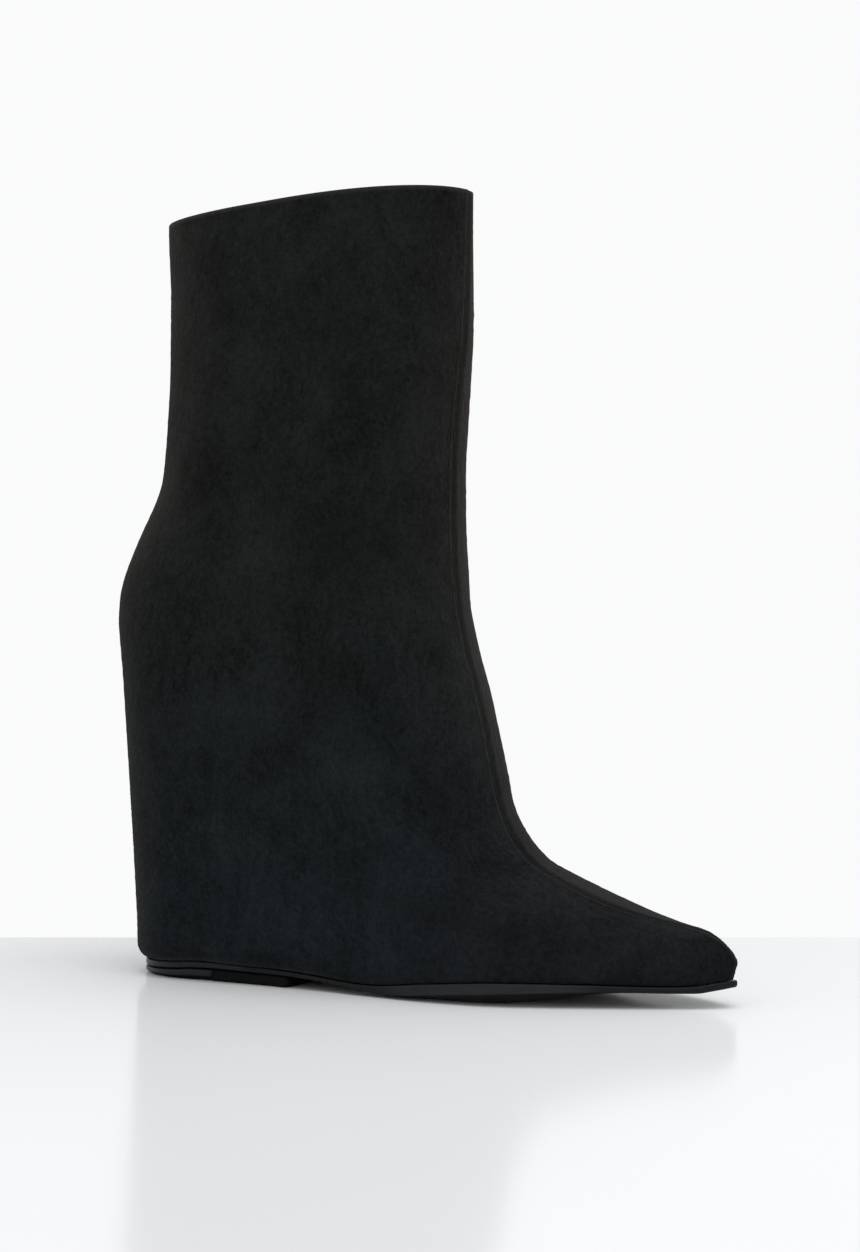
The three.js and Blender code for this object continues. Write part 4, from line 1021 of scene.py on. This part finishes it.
class BOOT_OT_sole(bpy.types.Operator):
    """Rubber outsole with its rounded edge, and the heel lift"""
    bl_idname = "object.boot_sole"
    bl_label = "Outsole and heel lift"

    def execute(self, context):
        look = context.scene.boot_look
        count = 170

        def top_at(x):
            """Upper face of the outsole."""
            return rim_at(x) + thick_at(x)

        def between(low, high, share):
            """Height function a share of the way from one to another."""
            return lambda x: low(x) + (high(x) - low(x)) * share

        # Rings from the tread outwards and up: the underside, the rounded lower corner, the
        # slightly bowed side, the rounded upper corner, and the face under the upper
        underside = ((2.6 * MARGIN, 0.0), (1.8 * MARGIN, 0.12), (1.2 * MARGIN, 0.36),
                     (0.6 * MARGIN, 0.72), (1.0, 0.97))
        rings = [sole_ring(inward, between(tread_at, rim_at, share), count)
                 for inward, share in underside]
        for angle in np.radians((12, 32, 52, 72, 90)):
            rise = 0.36 * (1 - math.cos(angle))
            rings.append(sole_ring(1 - math.sin(angle), between(rim_at, top_at, rise), count))
        for share in (0.5, 0.65, 0.8):
            bow = 0.1 * (1 - ((share - 0.55) / 0.35) ** 2)
            rings.append(sole_ring(0.1 - bow, between(rim_at, top_at, share), count))
        for angle in np.radians((30, 60, 90)):
            inward = 0.1 + 0.3 * (1 - math.cos(angle))
            rings.append(sole_ring(inward, lambda x, a=angle: top_at(x) - 0.25 * (1 - math.sin(a)),
                                   count))
        rings.append(sole_ring(1.2, top_at, count))
        stack = np.array(rings)
        rows, columns = stack.shape[:2]

        # Painted highlight on the side of the sole, painted shade underneath, at the waist and at
        # the toe
        share = stack[:, :, 0] / LENGTH
        sole_light_and_shade = np.interp(np.arange(rows), (0, 4, 5, 7, rows - 1), (0, 0, 0.4, 1.0, 0.55))[:, None]
        waist = smooth((share - 0.25) / 0.03) * (1 - smooth((share - 0.5) / 0.08))
        sides = 1 - 0.78 * np.maximum(waist, smooth((share - 0.78) / 0.06))
        quads = np.vstack([quads_of(rows, columns), caps_of(rows, columns)])
        piece = make_object("outsole_rubber", stack, quads, rubber_material(look),
                            {"sole_light_and_shade": sole_light_and_shade * sides})
        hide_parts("outsole")

        def plate_inset(x):
            """The plate stands back under the block, and nearly flush in front of it."""
            past_block = smooth((x / LENGTH - BREAST + 0.004) / 0.006)
            return BLOCK_STEP - (BLOCK_STEP - PLATE_STEP) * past_block

        plate = self.straight_cut(
            "heel_plate", PLATE_FRONT, plate_material(look), plate_inset,
            [(3.4, 0.0, 0.0), (1.0, 0.0, 0.0), (0.4, 0.05, 0.0), (0.12, 0.2, 0.0), (0.0, 0.45, 0.0),
             (0.0, 0.0, 0.6), (0.0, -0.1, 1.0), (0.5, -0.02, 1.0)])
        block = self.straight_cut(
            "heel_block", BREAST, lift_material(look), np.zeros_like,
            [(2.2, 0.0, BLOCK_FOOT), (0.5, 0.0, BLOCK_FOOT), (0.22, 0.05, BLOCK_FOOT),
             (0.06, 0.18, BLOCK_FOOT), (0.0, 0.4, BLOCK_FOOT), (0.0, 0.0, 0.7), (0.0, -0.2, 1.0),
             (0.15, -0.04, 1.0), (0.7, 0.0, 1.0)])
        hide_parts("top_lift")
        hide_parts("top_lift")
        return {"FINISHED"}

    def straight_cut(self, name, front, material, set_in, profile):
        """Solid whose outline is the back of the sole up to a station, closed straight across
        there. Each ring is that outline drawn in along its own normals by the profile's first
        number, plus set_in at that x; what that number has over corner_radius is drawn in
        towards the middle. The ring's height is the second number plus the third one's share of
        the way up to the outsole."""
        count, front_points, corner_radius, middle_radius = 320, 26, 0.4, 28.0
        edge = sole_ring(0.0, rim_at, count)
        side = edge[:count + 1]
        other = np.vstack([edge[0], edge[count + 1:][::-1], edge[count]])
        reach = front * LENGTH
        left = side[side[:, 0] < reach - 0.4]
        right = other[other[:, 0] < reach - 0.4]
        y_left = np.interp(reach, side[::-1, 0], side[::-1, 1])
        y_right = np.interp(reach, other[::-1, 0], other[::-1, 1])
        across = np.linspace(y_right, y_left, front_points)
        outline = np.vstack([
            left[:, :2], right[:-1][::-1][:, :2],
            np.column_stack([np.full(front_points, reach), across])[1:-1]])
        ahead = np.roll(outline, -1, axis=0) - np.roll(outline, 1, axis=0)
        n = np.column_stack([-ahead[:, 1], ahead[:, 0]])
        n /= np.linalg.norm(n, axis=1, keepdims=True)
        centre = outline.mean(axis=0)
        n *= np.sign(((centre - outline) * n).sum(axis=1))[:, None]
        flat_front = outline[:, 0] > reach - 0.05
        step = np.where(flat_front, 0.0, set_in(outline[:, 0]))
        rings = []
        for inward, rise, share in profile:
            xy = outline + n * (min(inward, corner_radius) + step)[:, None]
            xy += (centre - xy) * max(inward - corner_radius, 0.0) / middle_radius
            rings.append(np.column_stack([xy, rise + share * (rim_at(xy[:, 0]) - GAP)]))
        stack = np.array(rings)
        rows, columns = stack.shape[:2]
        points = np.vstack([stack.reshape(-1, 3), stack[[0, -1]].mean(axis=1)])
        i = np.arange(columns)
        j = (i + 1) % columns
        below, above = np.full(columns, rows * columns), np.full(columns, rows * columns + 1)
        top = (rows - 1) * columns
        quads = np.vstack([quads_of(rows, columns), np.stack([i, j, below, below], -1),
                           np.stack([top + j, top + i, above, above], -1)])
        return make_object(name, points, quads, material)


class BOOT_OT_inside(bpy.types.Operator):
    """Insole on the footbed, and the cork finish of the hidden wedge"""
    bl_idname = "object.boot_inside"
    bl_label = "Insole and wedge"

    def execute(self, context):
        look = context.scene.boot_look

        # Rings round the board at stations from heel to toe: as wide as the shell inside its wall,
        # narrowed to round ends, and drawn together at the edges to the middle of its thickness
        count, wide = 120, 28
        first, last = 0.024 * LENGTH, 0.925 * LENGTH
        heel_round, toe_round = 9.0, 5.0
        i = np.arange(count + 1) / count
        x = first + (last - first) * (1 - np.cos(np.pi * i)) / 2
        bed = bed_at(x) + GAP
        lateral, medial = sides_at(x, bed + INSOLE * 0.5)
        inset = WALL + GAP * 1.4
        middle = (lateral + medial) / 2
        half = np.maximum((medial - lateral) / 2 - inset, 0.2)
        half *= round_end((x - first) / heel_round) * round_end((last - x) / toe_round)
        half = np.maximum(half, 0.05)
        v = np.concatenate([np.linspace(-1, 1, wide + 1)[:-1], np.linspace(1, -1, wide + 1)[:-1]])
        upper = np.concatenate([np.ones(wide), np.zeros(wide)])
        curl = np.clip(np.abs(v), 0, 1) ** 6
        y = middle[:, None] + half[:, None] * v[None, :]
        z = bed[:, None] + INSOLE * (upper * (1 - 0.5 * curl) + (1 - upper) * 0.5 * curl)[None, :]
        stack = np.stack([np.repeat(x[:, None], 2 * wide, 1), y, z], -1)
        rows, columns = stack.shape[:2]
        a = np.arange(wide)
        heel = np.stack([a, a + 1, (2 * wide - a - 1) % columns, (2 * wide - a) % columns], -1)
        toe = heel[:, ::-1] + (rows - 1) * columns
        piece = make_object("insole_board", stack, np.vstack([quads_of(rows, columns), heel, toe]),
                            insole_material(look))
        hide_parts("insole")
        cork = cork_material(look)
        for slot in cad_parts["wedge"].material_slots:
            slot.material = cork
        return {"FINISHED"}


class BOOT_OT_stage(bpy.types.Operator):
    """Pale table, backdrop light, soft light from above and camera"""
    bl_idname = "object.boot_stage"
    bl_label = "Table, light and camera"

    def execute(self, context):
        stage = context.scene.boot_stage
        turn = stage.azimuth
        ahead = np.array([-math.sin(turn), math.cos(turn), 0.0])
        right = np.array([math.cos(turn), math.sin(turn), 0.0])
        target = (np.array([VIEW_X, 0.0, 0.0]) - SHIFT) * MM

        n = Nodes("table_top")
        n.tree.nodes.remove(n.shader)
        cloud = n.noise(7.0, 2.0, 0.5)
        base = tuple(stage.floor_colour)
        tone = n.blend(n.span(cloud, 0.3, 0.7), tuple(v * 0.985 for v in base), base)
        matte = n.tree.nodes.new("ShaderNodeBsdfDiffuse")
        n.join(tone, matte.inputs["Color"])
        gloss = n.tree.nodes.new("ShaderNodeBsdfGlossy")
        gloss.inputs["Color"].default_value = (1, 1, 1, 1)
        gloss.inputs["Roughness"].default_value = 0.16
        mix = n.tree.nodes.new("ShaderNodeMixShader")
        mix.inputs[0].default_value = stage.floor_gloss
        n.join(matte.outputs[0], mix.inputs[1])
        n.join(gloss.outputs[0], mix.inputs[2])
        n.join(mix.outputs[0], n.out.inputs[0])

        # Table: a slab with a fine bevel, square to the camera
        near, far, side, deep = -1.6, stage.table_depth, 2.2, 0.04
        corners = []
        for height in (-deep, 0.0):
            for u, v in ((-side, near), (side, near), (side, far), (-side, far)):
                spot = target + right * u + ahead * v
                corners.append((spot[0], spot[1], height))
        faces = [(3, 2, 1, 0), (4, 5, 6, 7), (0, 1, 5, 4), (1, 2, 6, 5), (2, 3, 7, 6), (3, 0, 4, 7)]
        mesh = bpy.data.meshes.new("table")
        mesh.from_pydata(corners, [], faces)
        mesh.materials.append(n.material)
        mesh.update()
        table = bpy.data.objects.new("table", mesh)
        context.collection.objects.link(table)
        bevel = table.modifiers.new("edge", "BEVEL")
        bevel.width = 0.0015
        bevel.segments = 3

        world = bpy.data.worlds.new("soft_tent")
        context.scene.world = world
        world.use_nodes = True
        glow = world.node_tree.nodes.get("Background")
        glow.inputs["Color"].default_value = (*stage.wall, 1.0)
        glow.inputs["Strength"].default_value = 1.0

        # Soft light above, a little to the right and to the front, aimed at the boot
        lamp = bpy.data.lights.new("side_light", "AREA")
        lamp.shape = "RECTANGLE"
        lamp.size, lamp.size_y = 0.9, 0.7
        lamp.energy = stage.key_power
        holder = bpy.data.objects.new("side_light", lamp)
        context.collection.objects.link(holder)
        spot = target + right * 0.2 - ahead * 0.3 + np.array([0, 0, 0.95])
        holder.location = spot
        aim = target + np.array([0, 0, 0.1]) - spot
        holder.rotation_euler = (math.atan2(math.hypot(aim[0], aim[1]), -aim[2]), 0.0,
                                 math.atan2(aim[1], aim[0]) - math.pi / 2)

        context.scene.view_settings.view_transform = "Standard"
        context.scene.view_settings.look = "None"

        camera = bpy.data.cameras.new("camera")
        camera.sensor_width = 36.0
        camera.lens = stage.lens
        camera.clip_start = 0.01
        viewer = bpy.data.objects.new("camera", camera)
        context.collection.objects.link(viewer)
        eye = target - ahead * stage.distance
        viewer.location = (eye[0], eye[1], stage.eye_height)
        viewer.rotation_euler = (math.pi / 2, 0.0, turn)
        context.scene.camera = viewer
        return {"FINISHED"}


class BOOT_PT_panel(bpy.types.Panel):
    """Sidebar panel that lists the sizes, colours and building steps"""
    bl_label = "Ankle boot"
    bl_idname = "BOOT_PT_panel"
    bl_space_type = "VIEW_3D"
    bl_region_type = "UI"
    bl_category = "Boot"

    def draw(self, context):
        scene = context.scene
        for group in (scene.boot_shape, scene.boot_look, scene.boot_stage):
            box = self.layout.box()
            for name in group.bl_rna.properties.keys():
                if name not in ("rna_type", "name"):
                    box.prop(group, name)
        for step in STEPS:
            self.layout.operator(step.bl_idname)


GROUPS = (("boot_shape", BootShape), ("boot_look", BootLook), ("boot_stage", BootStage))
STEPS = (BOOT_OT_upper, BOOT_OT_sole, BOOT_OT_inside, BOOT_OT_stage)


def register():
    """Register the property groups, the operators and the panel."""
    for name, group in GROUPS:
        bpy.utils.register_class(group)
        setattr(bpy.types.Scene, name, PointerProperty(type=group))
    for step in STEPS:
        bpy.utils.register_class(step)
    bpy.utils.register_class(BOOT_PT_panel)


def unregister():
    """Take back what register did, the other way round."""
    bpy.utils.unregister_class(BOOT_PT_panel)
    for step in reversed(STEPS):
        bpy.utils.unregister_class(step)
    for name, group in reversed(GROUPS):
        delattr(bpy.types.Scene, name)
        bpy.utils.unregister_class(group)


def main():
    """Build all pieces and the stage in order."""
    register()
    for step in (bpy.ops.object.boot_upper, bpy.ops.object.boot_sole, bpy.ops.object.boot_inside,
                 bpy.ops.object.boot_stage):
        if step() != {"FINISHED"}:
            raise RuntimeError("a building step did not finish")


if __name__ == "__main__":
    main()
